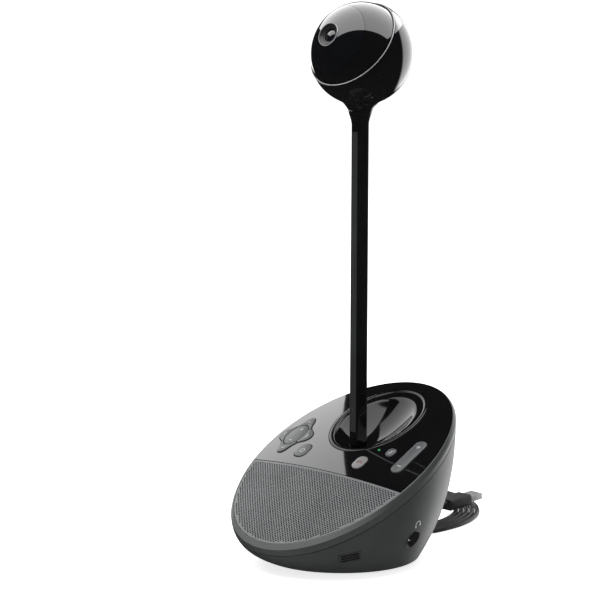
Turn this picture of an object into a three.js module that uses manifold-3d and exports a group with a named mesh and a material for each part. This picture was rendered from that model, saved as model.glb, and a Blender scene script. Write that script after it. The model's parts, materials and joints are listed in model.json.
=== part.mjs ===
// Desktop conference camera: a round speakerphone base with a sloping deck, a slim mast that
// lifts out of it, and a ball-shaped camera head that pans on the mast and tilts its eye.
// Millimetres, +Z up, front faces -Y, origin under the middle of the base on the table top.
import * as THREE from 'three';
import { mergeVertices } from 'three/addons/utils/BufferGeometryUtils.js';
import Module from 'manifold-3d';

const wasm = await Module();
wasm.setup();

const gap = 0.3; // air left between pieces that touch

// Base: the wall rises from a round foot to an elliptical rim that lies in the sloping deck.
const footRadius = 53;
const footCentreY = -1.7;
const wallBottom = 1.6;
const wallThickness = 2.4;
const wallSweep = 2.4; // how early the wall turns upright, as a power
const deckTilt = THREE.MathUtils.degToRad(30.5);
const deckCentreY = -3.7;
const deckCentreZ = 74;
const rimHalfWidth = 77;
const rimHalfLength = 90.6;
const crownRadius = 560; // the deck is a shallow dome
const crownReach = 112;
const bezelDepth = 7;
const panelThickness = 2.5;
const grilleEdge = -18.3; // slope position of the line between the grille and the panel
const wallSegments = 36;
const wallRows = 5;

// Dish round the mast: a paraboloid about the mast's axis, cut out by an upright circle.
const mastY = 13.7;
const dishCentreY = 33.2;
const dishRadius = 34.5;
const dishBottomZ = 75;
const dishCurve = 0.0153;
const dishDepth = 5;

// Keys, in deck positions: x across and slope up the deck. Each cap stands a little proud.
const keyClearance = 0.35;
const keyProud = 0.5;
const keyDepth = 3.2;
const plainKeys = [
  { name: 'home_key', x: -34, slope: -4, halfX: 5.6, halfY: 6.6, corner: 4.6 },
  { name: 'call_key', x: 23, slope: -4, halfX: 4.7, halfY: 6.2, corner: 4.2 },
  { name: 'mute_key', x: 38.8, slope: 12, halfX: 3.6, halfY: 4.2, corner: 3.2 },
  { name: 'volume_rocker', x: 54.8, slope: 12.8, halfX: 4.7, halfY: 17.2, corner: 4.6 },
];
const padX = -55;
const padSlope = 10.5;
const zoomHalfX = 8.2;
const zoomHalfY = 10.8;
const petalReachX = 16.2;
const petalReachY = 19.6;
const petalWaist = 0.66; // how far the outline pulls in between two petals
const petalSplit = 0.35;
const lampRadius = 1;
const lampX = 28;
const lampSlope = 11.5;

// Loudspeaker under the grille.
const grilleDrop = 0.3;
const grilleThickness = 1.2;
const baffleTop = -1.9;
const baffleBottom = -4.6;
const speakerRadius = 25;
const speakerSlope = -50;
const speakerDrop = 10.4;

// Fittings in the wall: the angle round the base and the height of each.
const jackAngle = THREE.MathUtils.degToRad(1.5);
const jackZ = 24;
const jackRadius = 7;
const ventAngle = THREE.MathUtils.degToRad(-39);
const ventZ = 16.5;
const ventHalfX = 8;
const ventHalfY = 4.6;
const inletAngle = THREE.MathUtils.degToRad(66);
const inletZ = 17;
const inletRadius = 4.6;

// Mast: a slim rounded bar whose top flares to a round seat for the head.
const mastHalfX = 4;
const mastHalfY = 5.3;
const mastBottomZ = 76.2;
const mastTopZ = 310;
const mastFlareZ = 299;
const seatRadius = 8.4;
const boreHalfX = 2.5;
const boreHalfY = 3.6;
const stripHalf = 2.7;
const stripDepth = 0.7;
const stripBottom = 87;
const stripTop = 296;
const footHalfX = 2.9;
const footHalfY = 3.9;
const footBottomZ = 50;
const footNeckZ = 76.4;
const footTopZ = 90;
const socketBottomZ = 42;
const socketFloorZ = 46;

// Head: a ball on a flared neck. The eye is a smaller ball that tilts inside it.
const ballZ = 349.5;
const ballRadius = 35.9;
const ballWall = 0.9;
const eyeRadius = 34.2;
const eyeWall = 1.8;
const neckBottomZ = 310.3;
const seamElevation = THREE.MathUtils.degToRad(39);
const seamOffset = 9.6;
const lensElevation = THREE.MathUtils.degToRad(25);
const windowRadius = 24.5;
const lensRingRadius = 8.5;
const lensRadius = 4.5;
const ballSegments = 24;

// Gears of the pan and tilt drives, by module and teeth.
const gearModule = 0.5;
const panTeeth = 36;
const tiltTeeth = 30;
const pinionTeeth = 12;
const stalkRadius = 3;
const shaftRadius = 0.9;
const tiltGearNear = 18.2;
const tiltGearFar = 20.4;
const tiltHubRadius = 1.2;
const earX = 25;
const pinRadius = 2.2;

// Cable: 2.44 m, most of it in a flat coil behind the base.
const cableRadius = 1.8;
const cableZ = 2;
const coilX = -95.7;
const coilY = 107.4;
const coilInner = 66;
const coilOuter = 85;
const coilTop = 4.4;
const leadX = -8.6;
const reliefY = 44.5;
const reliefZ = 10.4;
const reliefStem = 3.4;
const reliefLength = 33;
const plugX = -43.3;
const plugStart = 134.7;
const plugRise = THREE.MathUtils.degToRad(4);
const plugZ = 7.9;
const leadRoute = [
  [leadX, reliefY + reliefLength + gap, reliefZ], [leadX, 81.4, 9.8], [leadX, 85.2, 8], [leadX, 89, 5.6],
  [leadX, 92.8, 3.5], [leadX, 96.6, 2.3], [leadX, 100.4, cableZ], [leadX, 105, cableZ],
];
const tailRoute = [
  [-49.6, 66.6, cableZ], [-46.4, 71.6, cableZ], [-44.3, 78, cableZ], [-43.3, 86, cableZ], [-43, 96, cableZ],
  [-43, 105, 2.1], [-43.1, 112, 2.9], [-43.2, 119, 4.5], [plugX, 126.5, 6.4], [plugX, plugStart - gap, 7.8],
];

const deckMatrix = new THREE.Matrix4().makeRotationX(deckTilt).setPosition(0, deckCentreY, deckCentreZ);
const deckInverse = deckMatrix.clone().invert();

const material = (color, roughness, metalness = 0) =>
  new THREE.MeshStandardMaterial({ color, roughness, metalness });

const finishes = {
  charcoal: () => material(0x2c2f30, 0.5),
  trim: () => material(0x5b5f60, 0.45),
  gloss: () => material(0x0a0b0c, 0.12),
  grille: () => material(0x7a7c7e, 0.5, 0.3),
  key: () => material(0x6b6e70, 0.5),
  rubber: () => material(0x151515, 0.85),
  steel: () => material(0x9a9c9e, 0.35, 0.9),
  inner: () => material(0x232425, 0.6),
  board: () => material(0x1d5a36, 0.5),
  brass: () => material(0xb89a58, 0.4, 0.9),
  glass: () => material(0x10141c, 0.05),
  cone: () => material(0x2a2a28, 0.8),
  lamp: () => material(0x39c46a, 0.3),
  cable: () => material(0x141414, 0.6),
};

// Solids

function toSolid(geometry) {
  const bare = geometry.index ? geometry.clone() : mergeVertices(geometry.clone());
  bare.deleteAttribute('normal');
  bare.deleteAttribute('uv');
  const merged = mergeVertices(bare, 1e-4);
  const solidMesh = new wasm.Mesh({
    numProp: 3,
    vertProperties: new Float32Array(merged.attributes.position.array),
    triVerts: new Uint32Array(merged.index.array),
  });
  return new wasm.Manifold(solidMesh);
}

function toGeometry(solid) {
  const data = solid.getMesh();
  const geometry = new THREE.BufferGeometry();
  geometry.setAttribute('position', new THREE.BufferAttribute(data.vertProperties, 3));
  geometry.setIndex(new THREE.BufferAttribute(data.triVerts, 1));
  return geometry;
}

// A body turned about Z from a closed outline of [radius, height] pairs.
function turned(outline, segments = 16) {
  let area = 0;
  outline.forEach(([r, z], i) => {
    const [nextR, nextZ] = outline[(i + 1) % outline.length];
    area += r * nextZ - nextR * z;
  });
  const ordered = area > 0 ? outline : [...outline].reverse();
  const points = ordered.map(([r, z]) => new THREE.Vector2(r, z));
  points.push(points[0].clone());
  const geometry = new THREE.LatheGeometry(points, segments);
  return toSolid(geometry.rotateX(Math.PI / 2));
}

function rod(radius, bottom, top, segments = 12) {
  const geometry = new THREE.CylinderGeometry(radius, radius, top - bottom, segments);
  return toSolid(geometry.rotateX(Math.PI / 2).translate(0, 0, (top + bottom) / 2));
}

function block(sizeX, sizeY, sizeZ, x = 0, y = 0, z = 0) {
  return toSolid(new THREE.BoxGeometry(sizeX, sizeY, sizeZ).translate(x, y, z));
}

function slab(shape, bottom, top, curveSegments = 3) {
  const settings = { depth: top - bottom, bevelEnabled: false, curveSegments };
  const geometry = new THREE.ExtrudeGeometry(shape, settings);
  return toSolid(geometry.translate(0, 0, bottom));
}

function moved(solid, matrix) {
  return solid.transform(matrix.elements);
}

function ellipseShape(halfX, halfY) {
  return new THREE.Shape().absellipse(0, 0, halfX, halfY, 0, Math.PI * 2);
}

function roundedShape(halfX, halfY, radius) {
  const shape = new THREE.Shape();
  shape.moveTo(-halfX + radius, -halfY);
  shape.lineTo(halfX - radius, -halfY);
  shape.absarc(halfX - radius, -halfY + radius, radius, -Math.PI / 2, 0);
  shape.lineTo(halfX, halfY - radius);
  shape.absarc(halfX - radius, halfY - radius, radius, 0, Math.PI / 2);
  shape.lineTo(-halfX + radius, halfY);
  shape.absarc(-halfX + radius, halfY - radius, radius, Math.PI / 2, Math.PI);
  shape.lineTo(-halfX, -halfY + radius);
  shape.absarc(-halfX + radius, -halfY + radius, radius, Math.PI, Math.PI * 1.5);
  return shape;
}

function part(name, solid, finish, parent) {
  const mesh = new THREE.Mesh(toGeometry(solid), finishes[finish]());
  mesh.name = name;
  parent.add(mesh);
  return mesh;
}

// Deck surface

function crownDrop(x, slope) {
  return crownRadius - Math.sqrt(crownRadius ** 2 - x ** 2 - slope ** 2);
}

// The space between two offsets of the domed deck, in the deck's own frame.
function crownLayer(top, bottom, segments = 24) {
  const steps = 3;
  const outline = [];
  for (let i = 0; i <= steps; i += 1) {
    const r = (crownReach * i) / steps;
    outline.push([r, top - crownDrop(r, 0)]);
  }
  for (let i = steps; i >= 0; i -= 1) {
    const r = (crownReach * i) / steps;
    outline.push([r, bottom - crownDrop(r, 0)]);
  }
  return turned(outline, segments);
}

// A frame that sits on the deck at x and slope, with its Z along the local normal.
function deckFrame(x, slope) {
  const frame = new THREE.Group();
  frame.position.set(x, slope, -crownDrop(x, slope));
  frame.rotation.set(-Math.asin(slope / crownRadius), Math.asin(x / crownRadius), 0);
  frame.updateMatrix();
  return frame;
}

// Base wall

function rimPoint(angle, inset) {
  const x = (rimHalfWidth - inset) * Math.cos(angle);
  const slope = (rimHalfLength - inset) * Math.sin(angle);
  return new THREE.Vector3(x, slope, -crownDrop(x, slope)).applyMatrix4(deckMatrix);
}

function wallPoint(angle, rise, inset = 0) {
  const rim = rimPoint(angle, inset);
  const foot = new THREE.Vector3(
    (footRadius - inset) * Math.cos(angle),
    footCentreY + (footRadius - inset) * Math.sin(angle),
    wallBottom + inset,
  );
  const reach = 1 - (1 - Math.min(rise, 1)) ** wallSweep;
  return new THREE.Vector3(
    foot.x + (rim.x - foot.x) * reach,
    foot.y + (rim.y - foot.y) * reach,
    foot.z + (rim.z - foot.z) * rise,
  );
}

// The whole base as one solid, running a little past the deck so that the dome can trim it.
function baseForm(inset) {
  const past = 1.16;
  const outline = [new THREE.Vector2(0, 0)];
  for (let i = 0; i <= wallRows; i += 1) {
    outline.push(new THREE.Vector2(1, (past * i) / wallRows));
  }
  outline.push(new THREE.Vector2(0, past));
  const geometry = new THREE.LatheGeometry(outline, wallSegments);
  const position = geometry.attributes.position;
  const deckTop = new THREE.Vector3(0, 0, 12).applyMatrix4(deckMatrix);
  for (let i = 0; i < position.count; i += 1) {
    const radius = Math.hypot(position.getX(i), position.getZ(i));
    const rise = position.getY(i);
    if (radius > 0.5) {
      const point = wallPoint(Math.atan2(-position.getZ(i), position.getX(i)), rise, inset);
      position.setXYZ(i, point.x, point.y, point.z);
    } else if (rise > 0.5) {
      position.setXYZ(i, deckTop.x, deckTop.y, deckTop.z);
    } else {
      position.setXYZ(i, 0, footCentreY, wallBottom + inset);
    }
  }
  return toSolid(geometry);
}

// A frame on the outside of the wall at a given height, with its Z pointing outwards.
function wallFrame(angle, height) {
  const rim = rimPoint(angle, 0);
  const rise = (height - wallBottom) / (rim.z - wallBottom);
  const step = 0.01;
  const point = wallPoint(angle, rise);
  const along = wallPoint(angle + step, rise).sub(wallPoint(angle - step, rise));
  const up = wallPoint(angle, rise + step).sub(wallPoint(angle, rise - step));
  const normal = along.clone().cross(up).normalize();
  const side = along.normalize();
  const top = normal.clone().cross(side).normalize();
  return new THREE.Matrix4().makeBasis(side, top, normal).setPosition(point);
}

const model = new THREE.Group();
const deck = new THREE.Group();
deck.applyMatrix4(deckMatrix);
model.add(deck);

const jackFrame = wallFrame(jackAngle, jackZ);
const ventFrame = wallFrame(ventAngle, ventZ);
const inletFrame = wallFrame(inletAngle, inletZ);

const aboveDeck = (offset) => moved(crownLayer(70, offset), deckMatrix);
const belowDeck = (offset) => moved(crownLayer(offset, -160), deckMatrix);

function makeShell() {
  const shell = baseForm(0).subtract(baseForm(wallThickness));
  const opening = rod(footRadius - 3.4, -1, 8, wallSegments);
  const lower = shell
    .intersect(belowDeck(-bezelDepth - gap))
    .subtract(moved(opening, new THREE.Matrix4().makeTranslation(0, footCentreY, 0)))
    .subtract(moved(rod(jackRadius + gap, -9, 9), jackFrame))
    .subtract(moved(slab(roundedShape(ventHalfX + gap, ventHalfY + gap, 1.3), -9, 9), ventFrame))
    .subtract(moved(rod(inletRadius + gap, -9, 9), inletFrame))
    .subtract(moved(
      rod(reliefStem + gap, 0, 20),
      new THREE.Matrix4().makeRotationX(-Math.PI / 2).setPosition(leadX, reliefY - 6, reliefZ),
    ));
  part('lower_housing', lower, 'charcoal', model);
  const ring = shell.subtract(aboveDeck(0)).intersect(aboveDeck(-bezelDepth));
  part('bezel_ring', ring, 'trim', model);
}

// Controls: outlines are in their own deck frame, x across and y up the slope.

function keySolid(shape) {
  return slab(shape, -keyDepth, keyProud);
}

function petalOutline(grow) {
  const shape = new THREE.Shape();
  const steps = 24;
  for (let i = 0; i < steps; i += 1) {
    const angle = (i / steps) * Math.PI * 2;
    const bulge = Math.cos(2 * angle) ** 2;
    const reach = petalWaist + (1 - petalWaist) * bulge ** 1.4;
    const x = (petalReachX * reach + grow) * Math.cos(angle);
    const y = (petalReachY * reach + grow) * Math.sin(angle);
    if (i === 0) shape.moveTo(x, y);
    else shape.lineTo(x, y);
  }
  shape.closePath();
  return shape;
}

function keyHole(shape, x, slope) {
  return moved(slab(shape, -12, 12), deckFrame(x, slope).matrix);
}

function makeControls() {
  for (const key of plainKeys) {
    const frame = deckFrame(key.x, key.slope);
    deck.add(frame);
    part(key.name, keySolid(roundedShape(key.halfX, key.halfY, key.corner)), 'key', frame);
  }
  const pad = deckFrame(padX, padSlope);
  deck.add(pad);
  part('zoom_rocker', keySolid(ellipseShape(zoomHalfX, zoomHalfY)), 'key', pad);
  const ring = keySolid(petalOutline(0)).subtract(
    slab(ellipseShape(zoomHalfX + keyClearance, zoomHalfY + keyClearance), -12, 12),
  );
  const names = ['right_petal', 'up_petal', 'left_petal', 'down_petal'];
  names.forEach((name, i) => {
    const wedge = new THREE.Shape([new THREE.Vector2(petalSplit, 0), new THREE.Vector2(40, -40 + petalSplit),
      new THREE.Vector2(40, 40 - petalSplit)]);
    const turn = new THREE.Matrix4().makeRotationZ((i * Math.PI) / 2);
    part(name, ring.intersect(moved(slab(wedge, -12, 12), turn)), 'key', pad);
  });
}

function makePanel() {
  const outline = moved(baseForm(wallThickness + gap), deckInverse);
  const rear = outline.subtract(block(200, 200, 200, 0, grilleEdge - 100, 0));
  const dishMiddle = new THREE.Matrix4().makeTranslation(0, dishCentreY, 0);
  const dishHole = moved(rod(dishRadius + gap, 0, 200, 30), dishMiddle);
  let panel = rear
    .intersect(crownLayer(0, -panelThickness))
    .subtract(moved(dishHole, deckInverse))
    .subtract(keyHole(petalOutline(keyClearance), padX, padSlope))
    .subtract(keyHole(ellipseShape(lampRadius + gap, lampRadius + gap), lampX, lampSlope));
  for (const key of plainKeys) {
    const hole = roundedShape(key.halfX + keyClearance, key.halfY + keyClearance, key.corner + keyClearance);
    panel = panel.subtract(keyHole(hole, key.x, key.slope));
  }
  part('control_panel', panel, 'gloss', deck);

  const front = outline.intersect(block(200, 200, 200, 0, grilleEdge - gap - 100, 0));
  const grilleLayer = crownLayer(-grilleDrop, -grilleDrop - grilleThickness);
  part('speaker_grille', front.intersect(grilleLayer), 'grille', deck);
  const baffleHole = slab(ellipseShape(speakerRadius - 2.5, speakerRadius - 2.5), -40, 40, 12);
  const baffle = front
    .intersect(crownLayer(baffleTop, baffleBottom))
    .subtract(moved(baffleHole, new THREE.Matrix4().makeTranslation(0, speakerSlope, 0)));
  part('speaker_baffle', baffle, 'inner', deck);
}

// Loudspeaker hung under the baffle, facing up through the grille.
function makeSpeaker() {
  const driver = new THREE.Group();
  driver.position.set(0, speakerSlope, -speakerDrop);
  deck.add(driver);
  part('speaker_basket', turned([
    [speakerRadius, 0], [speakerRadius, -2], [13, -14], [13, -16], [11.4, -16], [11.4, -13.2],
    [22.2, -2.2], [22.2, 0],
  ]), 'steel', driver);
  part('speaker_cone', turned([
    [21.8, 0], [20.5, 1.2], [18.8, 1.2], [17.2, -0.4], [7, -7], [4, -5.4], [0, -4.6],
    [0, -5.6], [4, -6.4], [7, -8], [17.2, -1.4], [18.8, 0.4], [20.5, 0.4], [21.8, -0.8],
  ]), 'cone', driver);
  part('speaker_magnet', rod(10.9, -18, -13.4), 'steel', driver);
}

function makeDish() {
  const steps = 8;
  const reach = 70;
  const outline = [];
  for (let i = 0; i <= steps; i += 1) {
    const r = (reach * i) / steps;
    outline.push([r, dishBottomZ + dishCurve * r ** 2]);
  }
  for (let i = steps; i >= 0; i -= 1) {
    const r = (reach * i) / steps;
    outline.push([r, dishBottomZ - dishDepth + dishCurve * r ** 2]);
  }
  const bowl = moved(turned(outline, 24), new THREE.Matrix4().makeTranslation(0, mastY, 0));
  const circle = moved(rod(dishRadius, 0, 200, 30), new THREE.Matrix4().makeTranslation(0, dishCentreY, 0));
  const hole = moved(
    slab(roundedShape(footHalfX + gap, footHalfY + gap, 1), 0, 100),
    new THREE.Matrix4().makeTranslation(0, mastY, 0),
  );
  part('dish', bowl.intersect(circle).subtract(aboveDeck(-gap)).subtract(hole), 'gloss', model);
}

// A column along Z whose section blends between a rounded bar and a circle, row by row.
function column(rows, segments) {
  const outline = [new THREE.Vector2(0, 0)];
  rows.forEach((row, i) => outline.push(new THREE.Vector2(1, i)));
  outline.push(new THREE.Vector2(0, rows.length - 1));
  const geometry = new THREE.LatheGeometry(outline, segments);
  const position = geometry.attributes.position;
  for (let i = 0; i < position.count; i += 1) {
    const row = rows[Math.round(position.getY(i))];
    const angle = Math.atan2(-position.getZ(i), position.getX(i));
    const onAxis = Math.hypot(position.getX(i), position.getZ(i)) < 0.5;
    const power = 2 / row.squareness;
    const x = Math.sign(Math.cos(angle)) * Math.abs(Math.cos(angle)) ** power * row.halfX;
    const y = Math.sign(Math.sin(angle)) * Math.abs(Math.sin(angle)) ** power * row.halfY;
    position.setXYZ(i, onAxis ? 0 : x, onAxis ? 0 : y, row.z);
  }
  return toSolid(geometry);
}

function makeMast() {
  const mast = new THREE.Group();
  mast.position.set(0, mastY, 0);
  model.add(mast);
  const bar = (z) => ({ z, halfX: mastHalfX, halfY: mastHalfY, squareness: 6 });
  const flare = [bar(mastBottomZ), bar(mastFlareZ)];
  const steps = 5;
  for (let i = 1; i <= steps; i += 1) {
    const share = i / steps;
    const spread = share ** 2;
    flare.push({
      z: mastFlareZ + (mastTopZ - mastFlareZ) * share,
      halfX: mastHalfX + (seatRadius - mastHalfX) * spread,
      halfY: mastHalfY + (seatRadius - mastHalfY) * spread,
      squareness: 6 - 4 * share,
    });
  }
  const bore = slab(roundedShape(boreHalfX, boreHalfY, 0.8), 0, 400, 3);
  const stripCentre = -mastHalfY + stripDepth / 2;
  const groove = block(
    2 * stripHalf + 2 * gap, stripDepth + 2 * gap, stripTop - stripBottom + 2 * gap,
    0, stripCentre, (stripTop + stripBottom) / 2,
  );
  const tube = column(flare, 16).subtract(bore).subtract(groove);
  part('mast_tube', tube, 'gloss', mast);
  const strip = block(
    2 * stripHalf, stripDepth, stripTop - stripBottom,
    0, stripCentre + 0.05, (stripTop + stripBottom) / 2,
  );
  part('mast_strip', strip, 'trim', mast);

  const plug = slab(roundedShape(footHalfX, footHalfY, 0.8), footBottomZ, mastBottomZ - gap, 3);
  const tongue = slab(roundedShape(boreHalfX - gap, boreHalfY - gap, 0.6), footNeckZ - 3, footTopZ, 3);
  part('mast_foot', plug.add(tongue).subtract(block(3.4, 2, 60, 0, 0, footTopZ)), 'inner', mast);

  const socket = slab(roundedShape(7.5, 8.5, 2), socketBottomZ, dishBottomZ - dishDepth - 2 * gap, 4)
    .subtract(slab(roundedShape(footHalfX + gap, footHalfY + gap, 1), socketFloorZ, 100, 3));
  part('mast_socket', socket, 'inner', mast);
}

// A spur gear blank with straight-sided teeth.
function gear(teeth, bottom, top, turn = 0) {
  const shape = new THREE.Shape();
  const pitch = (gearModule * teeth) / 2;
  const outer = pitch + gearModule * 0.85;
  const root = pitch - gearModule * 1.15;
  const halfTip = 0.16;
  const halfRoot = 0.27;
  const step = (Math.PI * 2) / teeth;
  for (let i = 0; i < teeth; i += 1) {
    const middle = turn + i * step;
    const corners = [[root, -halfRoot], [outer, -halfTip], [outer, halfTip], [root, halfRoot]];
    corners.forEach(([radius, share], k) => {
      const angle = middle + share * step;
      const x = radius * Math.cos(angle);
      const y = radius * Math.sin(angle);
      if (i === 0 && k === 0) shape.moveTo(x, y);
      else shape.lineTo(x, y);
    });
  }
  shape.closePath();
  return slab(shape, bottom, top);
}

const head = new THREE.Group();
head.position.set(0, mastY, ballZ);
model.add(head);
const ballDrop = (z) => z - ballZ;
const panPitch = (gearModule * (panTeeth + pinionTeeth)) / 2;
const tiltPitch = (gearModule * (tiltTeeth + pinionTeeth)) / 2;
const panGearBottom = ballDrop(321);
const panGearTop = ballDrop(324);

function makeNeck() {
  const spigotShape = roundedShape(boreHalfX - gap, boreHalfY - gap, 0.6);
  const spigot = slab(spigotShape, ballDrop(292), ballDrop(310.4), 3);
  const journal = rod(5.4, ballDrop(310.4), ballDrop(313));
  const flange = rod(7.2, ballDrop(313), ballDrop(314.4));
  const stalk = rod(stalkRadius, ballDrop(314.4), ballDrop(327));
  const wireWay = rod(1.2, ballDrop(280), ballDrop(340), 12);
  part('neck_plug', spigot.add(journal).add(flange).add(stalk).subtract(wireWay), 'inner', head);
  const blank = gear(panTeeth, panGearBottom, panGearTop)
    .subtract(rod(stalkRadius + gap, ballDrop(300), ballDrop(340)));
  part('pan_gear', blank, 'brass', head);
}

// Direction in the upright middle plane, from the front (-Y) up towards +Z.
function direction(elevation) {
  return new THREE.Matrix4().makeRotationX(Math.PI / 2 - elevation);
}

function ball(radius, segments = ballSegments) {
  const outline = [];
  const steps = segments / 2;
  for (let i = 0; i <= steps; i += 1) {
    const angle = (i / steps) * Math.PI - Math.PI / 2;
    outline.push([i === 0 || i === steps ? 0 : radius * Math.cos(angle), radius * Math.sin(angle)]);
  }
  return turned(outline, segments);
}

function makeHousing() {
  const flare = turned([
    [0, ballDrop(neckBottomZ)], [8.5, ballDrop(neckBottomZ)], [8.9, ballDrop(311)], [9.9, ballDrop(312.6)],
    [11.5, ballDrop(315)], [14.2, ballDrop(317)], [19, ballDrop(320)], [20, ballDrop(321.5)], [0, ballDrop(324)],
  ], ballSegments);
  const neckRoom = turned([
    [5.7, ballDrop(300)], [5.7, ballDrop(312.7)], [7.6, ballDrop(312.7)], [7.6, ballDrop(315)],
    [12, ballDrop(320)], [0, ballDrop(320)], [0, ballDrop(300)],
  ], 24);
  const seamSide = moved(block(100, 100, 60, 0, 0, seamOffset + 30), direction(seamElevation));
  const shell = ball(ballRadius).add(flare)
    .subtract(ball(ballRadius - ballWall))
    .subtract(neckRoom)
    .subtract(seamSide);
  part('head_housing', shell, 'gloss', head);

  const ringOuter = Math.sqrt(ballRadius ** 2 - seamOffset ** 2);
  const ring = turned([
    [ringOuter - 0.2, seamOffset + gap], [ringOuter - 0.6, seamOffset + 1.4], [ringOuter - 1.3, seamOffset + 1.4],
    [33.2, seamOffset + 1.2], [33.6, seamOffset + gap],
  ], ballSegments);
  part('seam_ring', moved(ring, direction(seamElevation)), 'trim', head);

  const ear = (side) => block(3, 9, 9, side * earX, 0, 0)
    .subtract(moved(rod(pinRadius + 0.1, -40, 40), new THREE.Matrix4().makeRotationY(Math.PI / 2)))
    .add(block(3, 13.6, 5, side * earX, 10.9, 0));
  const yoke = ear(1).add(ear(-1))
    .add(block(52, 2.3, 5, 0, 16.5, 0))
    .add(block(14, 3, 16, 0, 18.8, -8))
    .add(block(14, 3, 4, 0, 17.9, 0))
    .add(block(14, 10.2, 4, 0, 24.2, -13.8));
  part('yoke', yoke, 'inner', head);
  const panMotorPlace = new THREE.Matrix4().makeTranslation(0, panPitch, 0);
  part('pan_motor', moved(rod(4.8, ballDrop(325.2), -8.4), panMotorPlace),
    'steel', head);
  const across = new THREE.Matrix4().makeRotationY(Math.PI / 2).setPosition(0, tiltPitch, 0);
  part('tilt_motor', moved(rod(4.4, -4, 17), across), 'steel', head);
}

function makePinions() {
  const panPinion = gear(pinionTeeth, panGearBottom, panGearTop, Math.PI / 2 + Math.PI / pinionTeeth)
    .add(rod(shaftRadius, panGearBottom, ballDrop(325)));
  part('pan_pinion', moved(panPinion, new THREE.Matrix4().makeTranslation(0, panPitch, 0)), 'brass', head);
  const across = new THREE.Matrix4().makeRotationY(Math.PI / 2).setPosition(0, tiltPitch, 0);
  const tiltPinion = gear(pinionTeeth, tiltGearNear, tiltGearFar, Math.PI / pinionTeeth)
    .add(rod(shaftRadius, 17.3, tiltGearFar));
  part('tilt_pinion', moved(tiltPinion, across), 'brass', head);
}

function makeEye() {
  const eyeCover = THREE.MathUtils.degToRad(62.4);
  const mouthAngle = THREE.MathUtils.degToRad(78.5);
  const mouth = turned([
    [0, 0], [60 * Math.sin(mouthAngle), -60 * Math.cos(mouthAngle)], [0, -60],
  ], ballSegments);
  const windowAngle = Math.asin(windowRadius / eyeRadius);
  const coneReach = 60;
  const windowCone = (angle) => moved(turned([
    [0, 0], [coneReach * Math.sin(angle), coneReach * Math.cos(angle)], [0, coneReach],
  ], ballSegments), direction(lensElevation));
  const shellBall = ball(eyeRadius).subtract(ball(eyeRadius - eyeWall));
  const lensWay = (radius) => moved(rod(radius, 10, 60), direction(lensElevation));
  part('eye_shell', shellBall
    .subtract(moved(mouth, direction(eyeCover)))
    .subtract(windowCone(windowAngle + gap / eyeRadius)), 'gloss', head);
  part('front_window', shellBall.intersect(windowCone(windowAngle)).subtract(lensWay(lensRingRadius + gap)),
    'glass', head);

  const ringTop = Math.sqrt(eyeRadius ** 2 - lensRingRadius ** 2);
  part('lens_bezel', moved(turned([
    [lensRingRadius, ringTop - 5], [lensRingRadius, ringTop], [lensRingRadius - 1, ringTop + 0.4],
    [lensRadius + gap, ringTop - 0.8], [lensRadius + gap, ringTop - 5],
  ]), direction(lensElevation)), 'trim', head);
  part('lens', moved(turned([
    [0, 17], [4.2, 17], [4.2, ringTop - 2.2], [3.4, ringTop - 1.4], [1.8, ringTop - 0.9], [0, ringTop - 0.7],
  ], 24), direction(lensElevation)), 'glass', head);
  const board = block(22, 20, 1.4, 0, 0, 15.4).add(block(9, 9, 0.6, 0, 0, 16.3));
  part('image_board', moved(board, direction(lensElevation)), 'board', head);
  // The right pin runs on inwards as the hub that carries the tilt gear.
  for (const [name, side] of [['left_tilt_pin', -1], ['right_tilt_pin', 1]]) {
    const hub = side > 0 ? rod(tiltHubRadius, tiltGearNear - gap, 22) : rod(pinRadius, 21.6, 22);
    const pin = rod(pinRadius, 21.6, 30.6).add(rod(3.4, 27.2, 30.6)).add(hub);
    const turn = new THREE.Matrix4().makeRotationY((side * Math.PI) / 2);
    part(name, moved(pin, turn), 'steel', head);
  }
  const wheel = gear(tiltTeeth, tiltGearNear, tiltGearFar, Math.PI / 2)
    .subtract(rod(tiltHubRadius + gap, 0, 40));
  part('tilt_gear', moved(wheel, new THREE.Matrix4().makeRotationY(Math.PI / 2)), 'brass', head);
}

// Inside and under the base

function makeBaseInside() {
  const floor = new THREE.Group();
  floor.position.set(0, footCentreY, 0);
  model.add(floor);
  const coverRadius = footRadius - 3.4 - gap;
  const places = [45, 135, 225, 315].map((a) => THREE.MathUtils.degToRad(a));
  const at = (radius, angle) =>
    new THREE.Matrix4().makeTranslation(radius * Math.cos(angle), radius * Math.sin(angle), 0);
  let cover = rod(coverRadius, 1.4, 4.4, wallSegments);
  places.forEach((angle, i) => {
    cover = cover.subtract(moved(rod(6.2 + gap, 0, 2.4), at(38, angle)));
    part(`foot_pad_${i + 1}`, moved(rod(6.2, 0, 2.1, 20), at(38, angle)), 'rubber', floor);
  });
  for (const [i, angle] of [0, Math.PI].entries()) {
    cover = cover.subtract(moved(rod(3 + gap, 0, 3).add(rod(1.5 + gap, 0, 6, 16)), at(42, angle)));
    const screw = rod(3, 1.7, 2.7, 20).add(rod(1.5, 2.7, 12, 16));
    part(`base_screw_${i + 1}`, moved(screw, at(42, angle)), 'steel', floor);
  }
  part('bottom_cover', cover, 'charcoal', floor);
  part('ballast_plate', rod(36, 4.8, 10.8, 40), 'steel', floor);
  const board = block(62, 46, 1.6, 0, 4, 16).add(block(14, 14, 1.6, -10, 6, 17.2)).add(block(10, 8, 2, 16, 0, 17.4))
    .add(block(8, 6, 8, -24, 20, 20));
  part('main_board', board, 'board', floor);

  const boardShape = (side) => new THREE.Shape([
    [16, -12], [64, -12], [64, 33], [39, 33], [39, 4], [16, 4],
  ].map(([x, y]) => new THREE.Vector2(side * x, y)));
  part('right_key_board', slab(boardShape(1), -11.2, -9.8), 'board', deck);
  part('left_key_board', slab(boardShape(-1), -11.2, -9.8), 'board', deck);
}

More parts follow.
